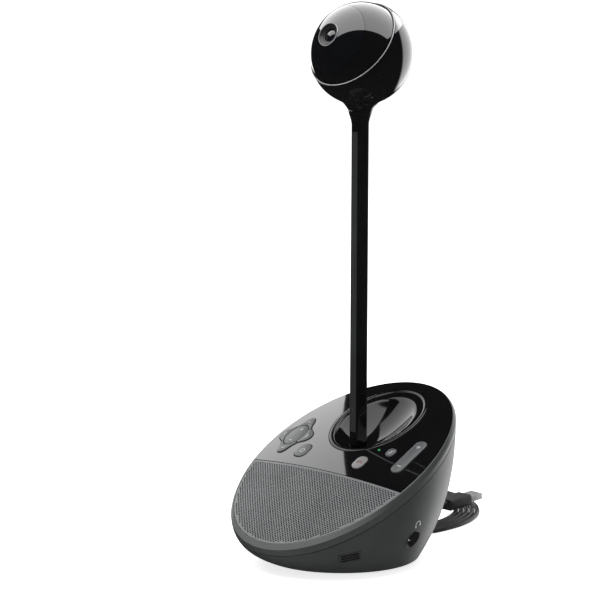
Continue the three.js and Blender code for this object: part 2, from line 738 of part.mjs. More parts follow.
function makeWallPieces() {
  const jack = turned([
    [jackRadius, 0], [jackRadius, -3], [4.6, -5], [4.6, -15], [0, -15], [0, -14], [1.8, -14], [1.8, -2.4],
    [3, -2.4], [3, -3.6], [4, -3.6], [6.2, -0.6],
  ]);
  part('headset_jack', moved(jack, jackFrame), 'inner', model);
  let vent = slab(roundedShape(ventHalfX, ventHalfY, 1), -4, -0.2);
  for (const y of [-2.5, 0, 2.5]) {
    vent = vent.subtract(block(12, 1.3, 20, 0, y, 0));
  }
  part('mic_vent', moved(vent, ventFrame), 'inner', model);
  const inlet = turned([
    [inletRadius, -0.2], [inletRadius, -12], [0, -12], [0, -11], [3.2, -11], [3.2, -0.2],
  ]).add(rod(1, -11.5, -3, 12));
  part('power_inlet', moved(inlet, inletFrame), 'inner', model);
  const lamp = deckFrame(lampX, lampSlope);
  deck.add(lamp);
  part('status_lamp', rod(lampRadius, -3, 0.1, 16), 'lamp', lamp);
}

// Cable, from the back of the base to the flat coil and on to the plug that lies across it

function tube(points) {
  const path = new THREE.CatmullRomCurve3(points.map((p) => new THREE.Vector3(...p)));
  const section = new THREE.Shape().absarc(0, 0, cableRadius, 0, Math.PI * 2);
  const steps = Math.ceil(path.getLength() / (cableRadius * 6));
  return toSolid(new THREE.ExtrudeGeometry(section, { steps, curveSegments: 4, extrudePath: path }));
}

function makeCable() {
  const relief = turned([
    [0, 0], [5.6, 0], [5.6, 2.4], [reliefStem, 2.4], [reliefStem, 12], [2.6, reliefLength], [0, reliefLength],
  ], 20);
  const back = new THREE.Matrix4().makeRotationX(-Math.PI / 2).setPosition(leadX, reliefY, reliefZ);
  part('strain_relief', moved(relief, back), 'rubber', model);
  part('cord_lead', tube(leadRoute), 'cable', model);
  part('cord_tail', tube(tailRoute), 'cable', model);
  const coil = turned([
    [coilInner, 0.3], [coilInner, coilTop - 1], [coilInner + 1, coilTop], [coilOuter - 1, coilTop],
    [coilOuter, coilTop - 1], [coilOuter, 0.3],
  ], 36);
  part('cord_coil', moved(coil, new THREE.Matrix4().makeTranslation(coilX, coilY, 0)), 'cable', model);

  const plug = new THREE.Matrix4().makeRotationX(-Math.PI / 2 + plugRise).setPosition(plugX, plugStart, plugZ);
  const grip = slab(roundedShape(7.4, 4, 2), 9, 30).add(rod(2.6, 0, 10));
  part('plug_overmould', moved(grip, plug), 'rubber', model);
  const sleeve = slab(roundedShape(6, 2.25, 0.5), 30.3, 42.3, 2).subtract(block(11, 1.9, 20, 0, -0.9, 42));
  part('plug_shell', moved(sleeve, plug), 'steel', model);
}

makeShell();
makePanel();
makeControls();
makeSpeaker();
makeDish();
makeBaseInside();
makeWallPieces();
makeMast();
makeNeck();
makeHousing();
makePinions();
makeEye();
makeCable();

export default model;
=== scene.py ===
import json
import math

import bmesh
import bpy
from mathutils import Matrix, Vector

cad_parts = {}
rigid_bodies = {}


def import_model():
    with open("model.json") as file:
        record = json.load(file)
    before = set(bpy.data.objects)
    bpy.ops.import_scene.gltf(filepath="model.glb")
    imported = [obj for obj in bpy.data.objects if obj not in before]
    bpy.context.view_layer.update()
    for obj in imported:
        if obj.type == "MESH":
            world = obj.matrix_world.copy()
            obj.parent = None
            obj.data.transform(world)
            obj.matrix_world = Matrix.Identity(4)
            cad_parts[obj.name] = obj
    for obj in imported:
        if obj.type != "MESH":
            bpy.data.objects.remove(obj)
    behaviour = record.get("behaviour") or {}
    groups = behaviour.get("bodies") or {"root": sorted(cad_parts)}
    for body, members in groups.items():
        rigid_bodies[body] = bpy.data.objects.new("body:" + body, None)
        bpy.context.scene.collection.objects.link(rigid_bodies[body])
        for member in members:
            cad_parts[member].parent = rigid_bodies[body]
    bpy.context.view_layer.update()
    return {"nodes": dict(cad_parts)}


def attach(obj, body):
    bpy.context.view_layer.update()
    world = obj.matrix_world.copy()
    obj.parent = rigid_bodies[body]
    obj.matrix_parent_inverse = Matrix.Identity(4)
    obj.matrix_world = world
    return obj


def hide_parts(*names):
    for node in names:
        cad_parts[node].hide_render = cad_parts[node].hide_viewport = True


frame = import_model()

# ---- Camera ----
# A long lens looks down on the deck from the front right, from two and a half metres away.
mm = 0.001
camera_azimuth = math.radians(46.2)
camera_elevation = math.radians(9.25)
camera_distance = 2500 * mm
camera_target = Vector((0, -3.7, 190)) * mm
camera_back = Vector((
    math.sin(camera_azimuth) * math.cos(camera_elevation),
    -math.cos(camera_azimuth) * math.cos(camera_elevation),
    math.sin(camera_elevation),
))
camera_data = bpy.data.cameras.new("camera")
camera_data.lens = 219.5
camera_data.shift_x = -0.0682
camera_data.shift_y = -0.0218
camera_data.clip_end = 100
camera = bpy.data.objects.new("camera", camera_data)
camera.location = camera_target + camera_back * camera_distance
camera_roll = math.radians(0.35)
camera_turn = camera_back.to_track_quat("Z", "Y").to_matrix() @ Matrix.Rotation(camera_roll, 3, "Z")
camera.rotation_euler = camera_turn.to_euler()
bpy.context.scene.collection.objects.link(camera)
bpy.context.scene.camera = camera
bpy.context.scene.view_settings.view_transform = "Standard"


# ---- Cable ----
# A soft black USB cable, 3.6 mm thick and about 2.4 m long. It leaves the back of the base through
# a ribbed rubber sleeve, lies in a loose flat coil behind it, and its plug rests on the coil.
def noise_node(tree, vector, scale, detail=4.0, stretch=None):
    noise = tree.nodes.new("ShaderNodeTexNoise")
    noise.inputs["Detail"].default_value = detail
    if isinstance(scale, (int, float)):
        noise.inputs["Scale"].default_value = scale
    else:
        tree.links.new(scale, noise.inputs["Scale"])
    if stretch:
        mapping = tree.nodes.new("ShaderNodeMapping")
        mapping.inputs["Scale"].default_value = stretch
        tree.links.new(vector, mapping.inputs["Vector"])
        vector = mapping.outputs["Vector"]
    tree.links.new(vector, noise.inputs["Vector"])
    return noise.outputs["Fac"]


def ranged(tree, value, from_low, from_high, low=0.0, high=1.0):
    node = tree.nodes.new("ShaderNodeMapRange")
    node.inputs["From Min"].default_value = from_low
    node.inputs["From Max"].default_value = from_high
    node.inputs["To Min"].default_value = low
    node.inputs["To Max"].default_value = high
    tree.links.new(value, node.inputs["Value"])
    return node.outputs["Result"]


def combined(tree, operation, first, second):
    node = tree.nodes.new("ShaderNodeMath")
    node.operation = operation
    for value, socket in ((first, node.inputs[0]), (second, node.inputs[1])):
        if isinstance(value, (int, float)):
            socket.default_value = value
        else:
            tree.links.new(value, socket)
    return node.outputs[0]


# Moulding grain, cloudy tint, finger smudges and fine scratches, shared by the finishes.
surface_group = bpy.data.node_groups.new("handled_surface", "ShaderNodeTree")
grain_scale_socket = surface_group.interface.new_socket(
    "Grain Scale", in_out="INPUT", socket_type="NodeSocketFloat",
)
grain_scale_socket.default_value = 2500.0
for label in ("Grain", "Cloud", "Smudge", "Scratch"):
    surface_group.interface.new_socket(label, in_out="OUTPUT", socket_type="NodeSocketFloat")
group_in = surface_group.nodes.new("NodeGroupInput")
group_out = surface_group.nodes.new("NodeGroupOutput")
group_place = surface_group.nodes.new("ShaderNodeTexCoord").outputs["Object"]
grain_cells = surface_group.nodes.new("ShaderNodeTexVoronoi")
surface_group.links.new(group_in.outputs["Grain Scale"], grain_cells.inputs["Scale"])
surface_group.links.new(group_place, grain_cells.inputs["Vector"])
grain_noise = noise_node(surface_group, group_place, group_in.outputs["Grain Scale"], 3.0)
grain_mask = combined(surface_group, "ADD", grain_noise, grain_cells.outputs["Distance"])
surface_group.links.new(grain_mask, group_out.inputs["Grain"])
cloud_mask = noise_node(surface_group, group_place, 38.0, 5.0)
surface_group.links.new(cloud_mask, group_out.inputs["Cloud"])
smudge_noise = noise_node(surface_group, group_place, 24.0, 8.0, (1.0, 1.6, 0.5))
surface_group.links.new(ranged(surface_group, smudge_noise, 0.45, 0.72), group_out.inputs["Smudge"])
scratch_noise = noise_node(surface_group, group_place, 320.0, 2.0, (0.06, 1.0, 0.35))
surface_group.links.new(ranged(surface_group, scratch_noise, 0.66, 0.74), group_out.inputs["Scratch"])


def finish(name, colour, tint, roughness, grain_scale=2500.0, grain=0.1, metallic=0.0, coat=0.0, smudge=0.06,
           scratch=0.03, depth=0.00004):
    """A finish whose colour drifts towards tint, with grain in its relief and marks in its gloss."""
    material = bpy.data.materials.new(name)
    material.use_nodes = True
    tree = material.node_tree
    shader = tree.nodes["Principled BSDF"]
    surface = tree.nodes.new("ShaderNodeGroup")
    surface.node_tree = surface_group
    surface.inputs["Grain Scale"].default_value = grain_scale
    ramp = tree.nodes.new("ShaderNodeValToRGB")
    ramp.color_ramp.elements[0].position = 0.3
    ramp.color_ramp.elements[0].color = (*colour, 1)
    ramp.color_ramp.elements[1].position = 0.72
    ramp.color_ramp.elements[1].color = (*tint, 1)
    tree.links.new(surface.outputs["Cloud"], ramp.inputs["Fac"])
    tree.links.new(ramp.outputs["Color"], shader.inputs["Base Color"])
    smeared = combined(tree, "MULTIPLY", surface.outputs["Smudge"], smudge)
    marked = combined(tree, "MULTIPLY_ADD", surface.outputs["Scratch"], scratch)
    tree.links.new(smeared, marked.node.inputs[2])
    tree.links.new(combined(tree, "ADD", marked, roughness), shader.inputs["Roughness"])
    bump = tree.nodes.new("ShaderNodeBump")
    bump.inputs["Strength"].default_value = grain
    bump.inputs["Distance"].default_value = depth
    tree.links.new(surface.outputs["Grain"], bump.inputs["Height"])
    tree.links.new(bump.outputs["Normal"], shader.inputs["Normal"])
    shader.inputs["Metallic"].default_value = metallic
    shader.inputs["Coat Weight"].default_value = coat
    shader.inputs["Coat Roughness"].default_value = 0.03
    return material


def solid(name, bm, place=None):
    """A new object from a bmesh that is drawn in millimetres."""
    if place:
        bm.transform(place)
    bm.transform(Matrix.Scale(mm, 4))
    mesh = bpy.data.meshes.new(name)
    bm.to_mesh(mesh)
    bm.free()
    piece = bpy.data.objects.new(name, mesh)
    bpy.context.scene.collection.objects.link(piece)
    return piece


def settle(piece, material, slot, body, *replaced, sharp=35):
    """Shades a finished piece, gives it its finish and fixes it to its body."""
    piece.data.shade_smooth()
    piece.data.set_sharp_from_angle(angle=math.radians(sharp))
    piece.data.materials.clear()
    piece.data.materials.append(material)
    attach(piece, body)
    if replaced:
        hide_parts(*replaced)
    return piece


def carve(piece, bm, place=None, operation="DIFFERENCE"):
    """Cuts a piece by a closed bmesh that is drawn in millimetres."""
    tool = solid("cutting_tool", bm, place)
    cut = piece.modifiers.new("cut", "BOOLEAN")
    cut.operation = operation
    cut.solver = "EXACT"
    cut.object = tool
    bpy.context.view_layer.update()
    evaluated = piece.evaluated_get(bpy.context.evaluated_depsgraph_get())
    result = bpy.data.meshes.new_from_object(evaluated)
    piece.modifiers.clear()
    piece.data = result
    bpy.data.objects.remove(tool)
    return piece


def revolved(profile, segments=96):
    """A closed body turned about Z from a closed profile of (radius, height) pairs."""
    bm = bmesh.new()
    points = [bm.verts.new((radius, 0, height)) for radius, height in profile]
    edges = [bm.edges.new(pair) for pair in zip(points, points[1:] + points[:1])]
    bmesh.ops.spin(
        bm, geom=points + edges, axis=(0, 0, 1), cent=(0, 0, 0), angle=2 * math.pi, steps=segments,
        use_merge=True,
    )
    bmesh.ops.remove_doubles(bm, verts=bm.verts, dist=0.001)
    bmesh.ops.recalc_face_normals(bm, faces=bm.faces)
    return bm


def prism(outline, bottom, top, rounding=0.0):
    """An upright body of a plan outline, with its top edge rounded."""
    bm = bmesh.new()
    made = bmesh.ops.create_circle(bm, cap_ends=True, segments=len(outline), radius=1)
    for vertex, (x, y) in zip(made["verts"], outline):
        vertex.co = (x, y, bottom)
    risen = bmesh.ops.extrude_face_region(bm, geom=bm.faces[:])["geom"]
    risen = [item for item in risen if isinstance(item, bmesh.types.BMVert)]
    bmesh.ops.translate(bm, verts=risen, vec=(0, 0, top - bottom))
    bmesh.ops.recalc_face_normals(bm, faces=bm.faces)
    if rounding:
        rim = [edge for edge in bm.edges if all(v in risen for v in edge.verts)]
        bmesh.ops.bevel(
            bm, geom=rim, offset=rounding, segments=3, profile=0.5, affect="EDGES", material=-1,
            clamp_overlap=True,
        )
    return bm


def rounded_outline(half_x, half_y, corner, steps=10):
    """Plan outline of a rectangle with round corners."""
    outline = []
    for i, (x, y) in enumerate(((1, 1), (-1, 1), (-1, -1), (1, -1))):
        for k in range(steps + 1):
            angle = math.pi / 2 * (i + k / steps)
            outline.append((
                x * (half_x - corner) + corner * math.cos(angle),
                y * (half_y - corner) + corner * math.sin(angle),
            ))
    return outline


def gathered(bodies):
    """Several separate bodies as one bmesh."""
    whole = bmesh.new()
    for body in bodies:
        mesh = bpy.data.meshes.new("gathered")
        body.to_mesh(mesh)
        body.free()
        whole.from_mesh(mesh)
        bpy.data.meshes.remove(mesh)
    return whole


rubber_finish = finish("rubber", (0.011, 0.011, 0.011), (0.018, 0.018, 0.018), 0.55, 3200.0, 0.3,
                       depth=0.0001)
jacket_finish = finish("cable_jacket", (0.007, 0.007, 0.0075), (0.012, 0.012, 0.0125), 0.5, 3000.0, 0.2,
                       depth=0.0001)
jacket_shader = jacket_finish.node_tree.nodes["Principled BSDF"]
jacket_shader.inputs["Specular IOR Level"].default_value = 0.3
plug_metal = finish("plug_metal", (0.7, 0.7, 0.71), (0.8, 0.8, 0.81), 0.42, 1500.0, 0.1, metallic=1.0)

cable_radius = 1.8
floor_rest = 2.0
lead_x = -8.6
coil_centre = Vector((-95.7, 107.4, 0))
coil_first = 87.0
coil_last = 68.2
coil_start = math.radians(2)
coil_end = math.radians(-60 + 5 * 360)
points_per_turn = 24
lead_route = [
    (lead_x, 77.4, 10.4), (lead_x, 81.4, 9.8), (lead_x, 85.2, 8), (lead_x, 89, 5.6), (lead_x, 92.8, 3.5),
    (lead_x, 96.6, 2.3), (lead_x, 100.4, 2), (lead_x, 105, 2),
]
tail_route = [
    (-54.4, 56.6, 2), (-49.2, 65.4, 2), (-46.2, 71.6, 2), (-44.3, 78, 2), (-43.3, 86, 2), (-43, 96, 2),
    (-43, 105, 2.1), (-43.1, 112, 2.9), (-43.2, 119, 4.5), (-43.3, 126.5, 6.4), (-43.3, 134.5, 7.8),
]
cable_points = [Vector(point) for point in lead_route]
turn_steps = round((coil_end - coil_start) / (2 * math.pi) * points_per_turn)
for i in range(turn_steps + 1):
    share = i / turn_steps
    angle = coil_start + (coil_end - coil_start) * share
    radius = coil_first + (coil_last - coil_first) * share
    spoke = Vector((radius * math.cos(angle), radius * math.sin(angle), floor_rest))
    cable_points.append(coil_centre + spoke)
cable_points += [Vector(point) for point in tail_route]
cable_curve = bpy.data.curves.new("usb_cable", "CURVE")
cable_curve.dimensions = "3D"
cable_curve.bevel_depth = cable_radius * mm
cable_curve.bevel_resolution = 3
cable_curve.resolution_u = 4
cable_line = cable_curve.splines.new("BEZIER")
cable_line.bezier_points.add(len(cable_points) - 1)
for knot, point in zip(cable_line.bezier_points, cable_points):
    knot.co = point * mm
    knot.handle_left_type = knot.handle_right_type = "AUTO"
usb_cable = bpy.data.objects.new("usb_cable", cable_curve)
bpy.context.scene.collection.objects.link(usb_cable)
cable_curve.materials.append(jacket_finish)
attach(usb_cable, "base")
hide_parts("cord_lead", "cord_coil", "cord_tail")

relief_y = 44.5
relief_profile = [(0, 0), (5.6, 0), (5.6, 2.4), (3.4, 2.4), (3.4, 11.4)]
for i in range(8):
    rib_start = 12 + i * 2.5
    rib_radius = 3.35 - i * 0.09
    relief_profile += [
        (rib_radius, rib_start), (rib_radius, rib_start + 1.5), (rib_radius - 0.5, rib_start + 1.7),
        (rib_radius - 0.5, rib_start + 2.3),
    ]
relief_profile += [(2.6, 32.6), (2.3, 33), (0, 33)]
relief_place = Matrix.Translation((lead_x, relief_y, 10.4)) @ Matrix.Rotation(-math.pi / 2, 4, "X")
cable_sleeve = solid("cable_sleeve", revolved(relief_profile, 40), relief_place)
settle(cable_sleeve, rubber_finish, "rubber", "base", "strain_relief", sharp=50)

plug_rise = math.radians(4)
plug_place = Matrix.Translation((-43.3, 134.7, 7.9)) @ Matrix.Rotation(plug_rise - math.pi / 2, 4, "X")
grip_outline = rounded_outline(7.4, 4, 2)
grip = prism(grip_outline, 9, 30, 0.6)
plug_grip = solid("plug_grip", grip, plug_place)
collar = [(0, 0), (2.2, 0), (2.6, 0.5), (2.6, 2.4), (2.2, 2.7), (2.2, 3.2), (2.6, 3.5), (2.6, 5.4),
          (2.2, 5.7),
          (2.2, 6.2), (2.8, 6.6), (3.6, 9.4), (0, 9.4)]
carve(plug_grip, revolved(collar, 32), plug_place, "UNION")
for side in (1, -1):
    dent_turns = [i / 12 * math.pi for i in range(24)]
    thumb_dent = [(4.4 * math.cos(turn), 19.5 + 6.4 * math.sin(turn)) for turn in dent_turns]
    dent = prism(thumb_dent, 3.5, 6)
    dent_turn = Matrix.Rotation(math.pi / 2 * side, 4, "X") @ Matrix.Scale(-side, 4, (0, 1, 0))
    carve(plug_grip, dent, plug_place @ dent_turn)
settle(plug_grip, rubber_finish, "rubber", "base", "plug_overmould", sharp=40)

shell_outer = rounded_outline(6, 2.25, 0.5, 4)
plug_sleeve = solid("plug_sleeve", prism(shell_outer, 30.3, 42.3, 0.2), plug_place)
carve(plug_sleeve, prism(rounded_outline(5.6, 1.85, 0.3, 3), 31.5, 44), plug_place)
for side in (-1, 1):
    window_outline = rounded_outline(1.1, 1.1, 0.1, 2)
    window = prism(window_outline, 1.2, 4)
    window_middle = plug_place @ Matrix.Translation((side * 2.9, 0, 37.5))
    window_place = window_middle @ Matrix.Rotation(-math.pi / 2, 4, "X")
    carve(plug_sleeve, window, window_place)
settle(plug_sleeve, plug_metal, "steel", "base", "plug_shell", sharp=30)
plug_core = solid("plug_core", prism(rounded_outline(5.4, 0.9, 0.2, 2), 31, 41.6),
                  plug_place @ Matrix.Translation((0, 0.8, 0)))
settle(plug_core, jacket_finish, "rubber", "base")


# ---- Base shell ----
# Two moulded walls of satin charcoal plastic. The lower one flares from the round foot, and the
# bezel ring above it clips on round the sloping deck, with a fine seam between them.
deck_tilt = math.radians(30.5)
deck_place = Matrix.Translation((0, -3.7, 74)) @ Matrix.Rotation(deck_tilt, 4, "X")
deck_inverse = deck_place.inverted()
crown_radius = 560
foot_radius = 53
foot_centre_y = -1.7
wall_bottom = 1.6
wall_thickness = 2.4
wall_sweep = 2.4
rim_half_width = 77
rim_half_length = 90.6
bezel_depth = 7.0
seam_gap = 0.3


def crown_drop(x, slope):
    return crown_radius - math.sqrt(crown_radius ** 2 - x ** 2 - slope ** 2)


def wall_point(angle, rise, inset=0.0):
    """A point on the base wall, at a share of the way up from the foot to the rim."""
    x = (rim_half_width - inset) * math.cos(angle)
    slope = (rim_half_length - inset) * math.sin(angle)
    rim = deck_place @ Vector((x, slope, -crown_drop(x, slope)))
    foot_x = (foot_radius - inset) * math.cos(angle)
    foot_y = foot_centre_y + (foot_radius - inset) * math.sin(angle)
    foot_z = wall_bottom + inset
    reach = 1 - (1 - min(rise, 1)) ** wall_sweep
    return Vector((
        foot_x + (rim.x - foot_x) * reach,
        foot_y + (rim.y - foot_y) * reach,
        foot_z + (rim.z - foot_z) * rise,
    ))


def rise_to(angle, inset, offset):
    """How far up the wall it stands offset above the deck surface."""
    low, high = 0.5, 1.2
    for _ in range(26):
        middle = (low + high) / 2
        local = deck_inverse @ wall_point(angle, middle, inset)
        if local.z + crown_drop(local.x, local.y) > offset:
            high = middle
        else:
            low = middle
    return low


def shaped_grid(columns, rows, place):
    """A sheet of quads. The corner at (column, row) lies at place(share of columns, row)."""
    bm = bmesh.new()
    bmesh.ops.create_grid(bm, x_segments=columns, y_segments=rows, size=0.5)
    for vertex in bm.verts:
        vertex.co = place(vertex.co.x + 0.5, round((vertex.co.y + 0.5) * rows))
    bmesh.ops.remove_doubles(bm, verts=bm.verts, dist=0.0005)
    bmesh.ops.recalc_face_normals(bm, faces=bm.faces)
    return bm


def wall_frame(angle, height):
    """A place on the outside of the wall, with its Z pointing outwards."""
    rim = wall_point(angle, 1)
    rise = (height - wall_bottom) / (rim.z - wall_bottom)
    step = 0.01
    side = (wall_point(angle + step, rise) - wall_point(angle - step, rise)).normalized()
    up = wall_point(angle, rise + step) - wall_point(angle, rise - step)
    normal = side.cross(up).normalized()
    top = normal.cross(side)
    basis = Matrix((side, top, normal)).transposed().to_4x4()
    return Matrix.Translation(wall_point(angle, rise)) @ basis


charcoal_finish = finish("charcoal_plastic", (0.024, 0.026, 0.026), (0.03, 0.032, 0.032), 0.42, 2200.0, 0.3,
                         smudge=0.05, depth=0.00006)
bezel_finish = finish("bezel_plastic", (0.03, 0.032, 0.032), (0.038, 0.04, 0.04), 0.4, 2200.0, 0.25,
                      smudge=0.05, depth=0.00006)
# Painted highlight: the faces of the bezel that turn up, its upper chamfer, are painted a lighter grey than
# the band below it, standing in for the light they catch from above.
bezel_tree = bezel_finish.node_tree
bezel_shader = bezel_tree.nodes["Principled BSDF"]
painted_highlight_facing = bezel_tree.nodes.new("ShaderNodeVectorMath")
painted_highlight_facing.operation = "DOT_PRODUCT"
painted_highlight_facing.inputs[1].default_value = deck_place.to_3x3() @ Vector((0, 0, 1))
bezel_geometry = bezel_tree.nodes.new("ShaderNodeNewGeometry")
bezel_tree.links.new(bezel_geometry.outputs["True Normal"], painted_highlight_facing.inputs[0])
painted_highlight_mix = bezel_tree.nodes.new("ShaderNodeMix")
painted_highlight_mix.data_type = "RGBA"
painted_highlight_share, mix_first, painted_highlight_grey = (painted_highlight_mix.inputs[i] for i in (0, 6, 7))
# The lighter grey of the painted highlight on the up-facing chamfer.
painted_highlight_grey.default_value = (0.11, 0.115, 0.115, 1)
bezel_tree.links.new(ranged(bezel_tree, painted_highlight_facing.outputs["Value"], 0.62, 0.7), painted_highlight_share)
bezel_colour = bezel_shader.inputs["Base Color"].links[0].from_socket
bezel_tree.links.new(bezel_colour, mix_first)
bezel_tree.links.new(painted_highlight_mix.outputs[2], bezel_shader.inputs["Base Color"])
inner_finish = finish("inner_plastic", (0.016, 0.017, 0.018), (0.026, 0.027, 0.028), 0.5, 1800.0, 0.3,
                      depth=0.0001)

outer_rows = 40
wall_rows = [("ring", 52.2, 1.6)]
wall_rows += [("wall", 0.012 + 0.985 * i / outer_rows, 0.0) for i in range(outer_rows + 1)]
wall_rows += [("wall", 1.0, 0.25)]
wall_rows += [("wall", 1.0 - i / 12, wall_thickness) for i in range(13)]
wall_rows += [("ring", 49.6, 4.0), ("ring", 49.6, 1.6), ("ring", 52.2, 1.6)]


def lower_wall_place(share, row):
    kind, first, second = wall_rows[row]
    angle = share * 2 * math.pi
    if kind == "ring":
        return Vector((first * math.cos(angle), foot_centre_y + first * math.sin(angle), second))
    top = rise_to(angle, second, -bezel_depth - seam_gap)
    return wall_point(angle, first * top, second)


jack_place = wall_frame(math.radians(1.5), 24)
vent_place = wall_frame(math.radians(-39), 16.5)
inlet_place = wall_frame(math.radians(66), 17)
jack_radius = 7.0
inlet_radius = 4.6


def disc(radius, segments=48):
    return [(radius * math.cos(2 * math.pi * i / segments), radius * math.sin(2 * math.pi * i / segments))
            for i in range(segments)]


base_wall = solid("base_wall", shaped_grid(180, len(wall_rows) - 1, lower_wall_place))
carve(base_wall, prism(disc(jack_radius + 0.15), -9, 9), jack_place)
carve(base_wall, prism(rounded_outline(8.06, 4.66, 1.12, 6), -9, 9), vent_place)
carve(base_wall, prism(disc(inlet_radius + 0.2), -9, 9), inlet_place)
carve(base_wall, prism(disc(3.7), 0, 20), Matrix.Translation((0, -6, 0)) @ relief_place)
settle(base_wall, charcoal_finish, "charcoal", "base", "lower_housing")

bezel_rows = [
    (0.25, -7.0), (0.0, -6.75), (0.0, -5.4), (0.0, -4.2), (0.0, -3.3), (0.04, -2.9), (0.2, -2.5),
    (1.75, -0.4), (1.95, -0.2), (2.1, -0.08), (2.25, -0.06), (2.35, -0.14), (2.4, -0.35), (2.4, -7.0),
    (0.25, -7.0),
]


def bezel_place(share, row):
    inset, offset = bezel_rows[row]
    angle = share * 2 * math.pi
    return wall_point(angle, rise_to(angle, inset, offset), inset)


deck_bezel = solid("deck_bezel", shaped_grid(180, len(bezel_rows) - 1, bezel_place))
settle(deck_bezel, bezel_finish, "trim", "base", "bezel_ring", sharp=28)

# ---- Control panel ----
# A thin moulding of piano-black plastic that covers the upper deck, with close-fitting openings
# for the keys and the round dish. Its front edge is a straight line against the grille.
gloss_finish = finish("gloss_black", (0.0035, 0.0035, 0.004), (0.005, 0.005, 0.0055), 0.035, 900.0, 0.0015,
                      coat=0.5, smudge=0.02, scratch=0.015, depth=0.00001)
grille_edge = -18.3
panel_thickness = 2.5
panel_inset = 2.62
key_clearance = 0.55
dish_centre_y = 33.2
dish_radius = 34.5
pad_x = -55
pad_slope = 10.5
zoom_half_x = 8.2
zoom_half_y = 10.8
plain_keys = {
    "home_key": (-34, -4, 5.6, 6.6, 4.6),
    "call_key": (23, -4, 4.7, 6.2, 4.2),
    "mute_key": (38.8, 12, 3.6, 4.2, 3.2),
    "volume_rocker": (54.8, 12.8, 4.7, 17.2, 4.6),
}
lamp_x = 28
lamp_slope = 11.5


def deck_frame(x, slope):
    """A place on the domed deck, with its Z along the surface normal."""
    lean = Matrix.Rotation(-math.asin(slope / crown_radius), 4, "X")
    roll = Matrix.Rotation(math.asin(x / crown_radius), 4, "Y")
    return deck_place @ Matrix.Translation((x, slope, -crown_drop(x, slope))) @ lean @ roll


def petal_point(turn, grow=0.0):
    reach = 0.66 + 0.34 * (math.cos(2 * turn) ** 2) ** 1.4
    return ((16.2 * reach + grow) * math.cos(turn), (19.6 * reach + grow) * math.sin(turn))


def rim_plan(inset, segments=120):
    """Plan outline of the deck, a little inside its rim."""
    outline = []
    for i in range(segments):
        angle = 2 * math.pi * i / segments
        x = (rim_half_width - inset) * math.cos(angle)
        slope = (rim_half_length - inset) * math.sin(angle)
        point = deck_place @ Vector((x, slope, -crown_drop(x, slope)))
        outline.append((point.x, point.y))
    return outline


panel_half_width = 78
panel_back = 92


def panel_place(share, row):
    x = panel_half_width * (2 * share - 1)
    slope = grille_edge + (panel_back - grille_edge) * row / panel_rows
    return Vector((x, slope, -crown_drop(x, slope)))


panel_rows = 56
panel_sheet = shaped_grid(78, panel_rows, panel_place)
panel_under = bmesh.ops.extrude_face_region(panel_sheet, geom=panel_sheet.faces[:])["geom"]
panel_under = [item for item in panel_under if isinstance(item, bmesh.types.BMVert)]
bmesh.ops.translate(panel_sheet, verts=panel_under, vec=(0, 0, -panel_thickness))
bmesh.ops.recalc_face_normals(panel_sheet, faces=panel_sheet.faces)
control_panel = solid("gloss_panel", panel_sheet, deck_place)
carve(control_panel, prism(rim_plan(panel_inset), 20, 160), operation="INTERSECT")
dish_hole = prism(disc(dish_radius + 0.18, 96), 30, 160)
dish_hole.transform(Matrix.Translation((0, dish_centre_y, 0)))
pad_hole = prism([petal_point(2 * math.pi * i / 120, key_clearance) for i in range(120)], -6, 6)
pad_hole.transform(deck_frame(pad_x, pad_slope))
lamp_hole = prism(disc(1.15, 24), -6, 6)
lamp_hole.transform(deck_frame(lamp_x, lamp_slope))
panel_holes = [dish_hole, pad_hole, lamp_hole]
for key_x, key_slope, half_x, half_y, corner in plain_keys.values():
    hole_outline = rounded_outline(half_x + key_clearance, half_y + key_clearance, corner + key_clearance)
    hole = prism(hole_outline, -6, 6)
    hole.transform(deck_frame(key_x, key_slope))
    panel_holes.append(hole)
carve(control_panel, gathered(panel_holes))
settle(control_panel, gloss_finish, "gloss", "base", "control_panel", sharp=30)


def smooth_dome(piece):
    """Gives the top of a deck piece the exact normals of the dome, so that reflections run true."""
    centre = (deck_place @ Vector((0, 0, -crown_radius))) * mm
    mesh = piece.data
    normals = [Vector((0, 0, 0))] * len(mesh.loops)
    for face in mesh.polygons:
        if face.normal.dot((face.center - centre).normalized()) > 0.995:
            for loop in face.loop_indices:
                corner = mesh.vertices[mesh.loops[loop].vertex_index].co
                normals[loop] = (corner - centre).normalized()
    mesh.normals_split_custom_set(normals)


smooth_dome(control_panel)

# ---- Speaker grille ----
# A pressed steel sheet, painted mid grey and punched with round holes in diagonal rows. It covers
# the loudspeaker that fills the front of the deck, and clips in under the panel's front edge.
grille_finish = finish("grille_paint", (0.11, 0.115, 0.117), (0.14, 0.145, 0.147), 0.42, 2600.0, 0.2,
                       metallic=0.25,
                       smudge=0.05, depth=0.00005)
hole_pitch = 1.8
hole_radius = 0.7
grille_cells = 92
grille_thickness = 0.45
grille_top = -0.3
grille_sheet = bmesh.new()
bmesh.ops.create_grid(
    grille_sheet, x_segments=grille_cells, y_segments=grille_cells, size=hole_pitch * grille_cells / 2,
    matrix=Matrix.Translation((0, -45, 0)) @ Matrix.Rotation(math.pi / 4, 4, "Z"),
)


def trim(bm, point, normal):
    """Cuts away what lies beyond a plane."""
    everything = bm.verts[:] + bm.edges[:] + bm.faces[:]
    bmesh.ops.bisect_plane(bm, geom=everything, plane_co=point, plane_no=normal, clear_outer=True)


trim(grille_sheet, (0, grille_edge - 0.25, 0), (0, 1, 0))
grille_half_x = rim_half_width - panel_inset
grille_half_y = rim_half_length - panel_inset
outline_cuts = 56
for i in range(outline_cuts):
    angle = math.pi + (i + 0.5) / outline_cuts * math.pi
    edge_point = (grille_half_x * math.cos(angle), grille_half_y * math.sin(angle), 0)
    trim(grille_sheet, edge_point, (math.cos(angle) / grille_half_x, math.sin(angle) / grille_half_y, 0))
border = 1.6


def well_inside(face):
    centre = face.calc_center_median()
    across = centre.x / (grille_half_x - border)
    along = centre.y / (grille_half_y - border)
    return across ** 2 + along ** 2 < 1 and centre.y < grille_edge - border


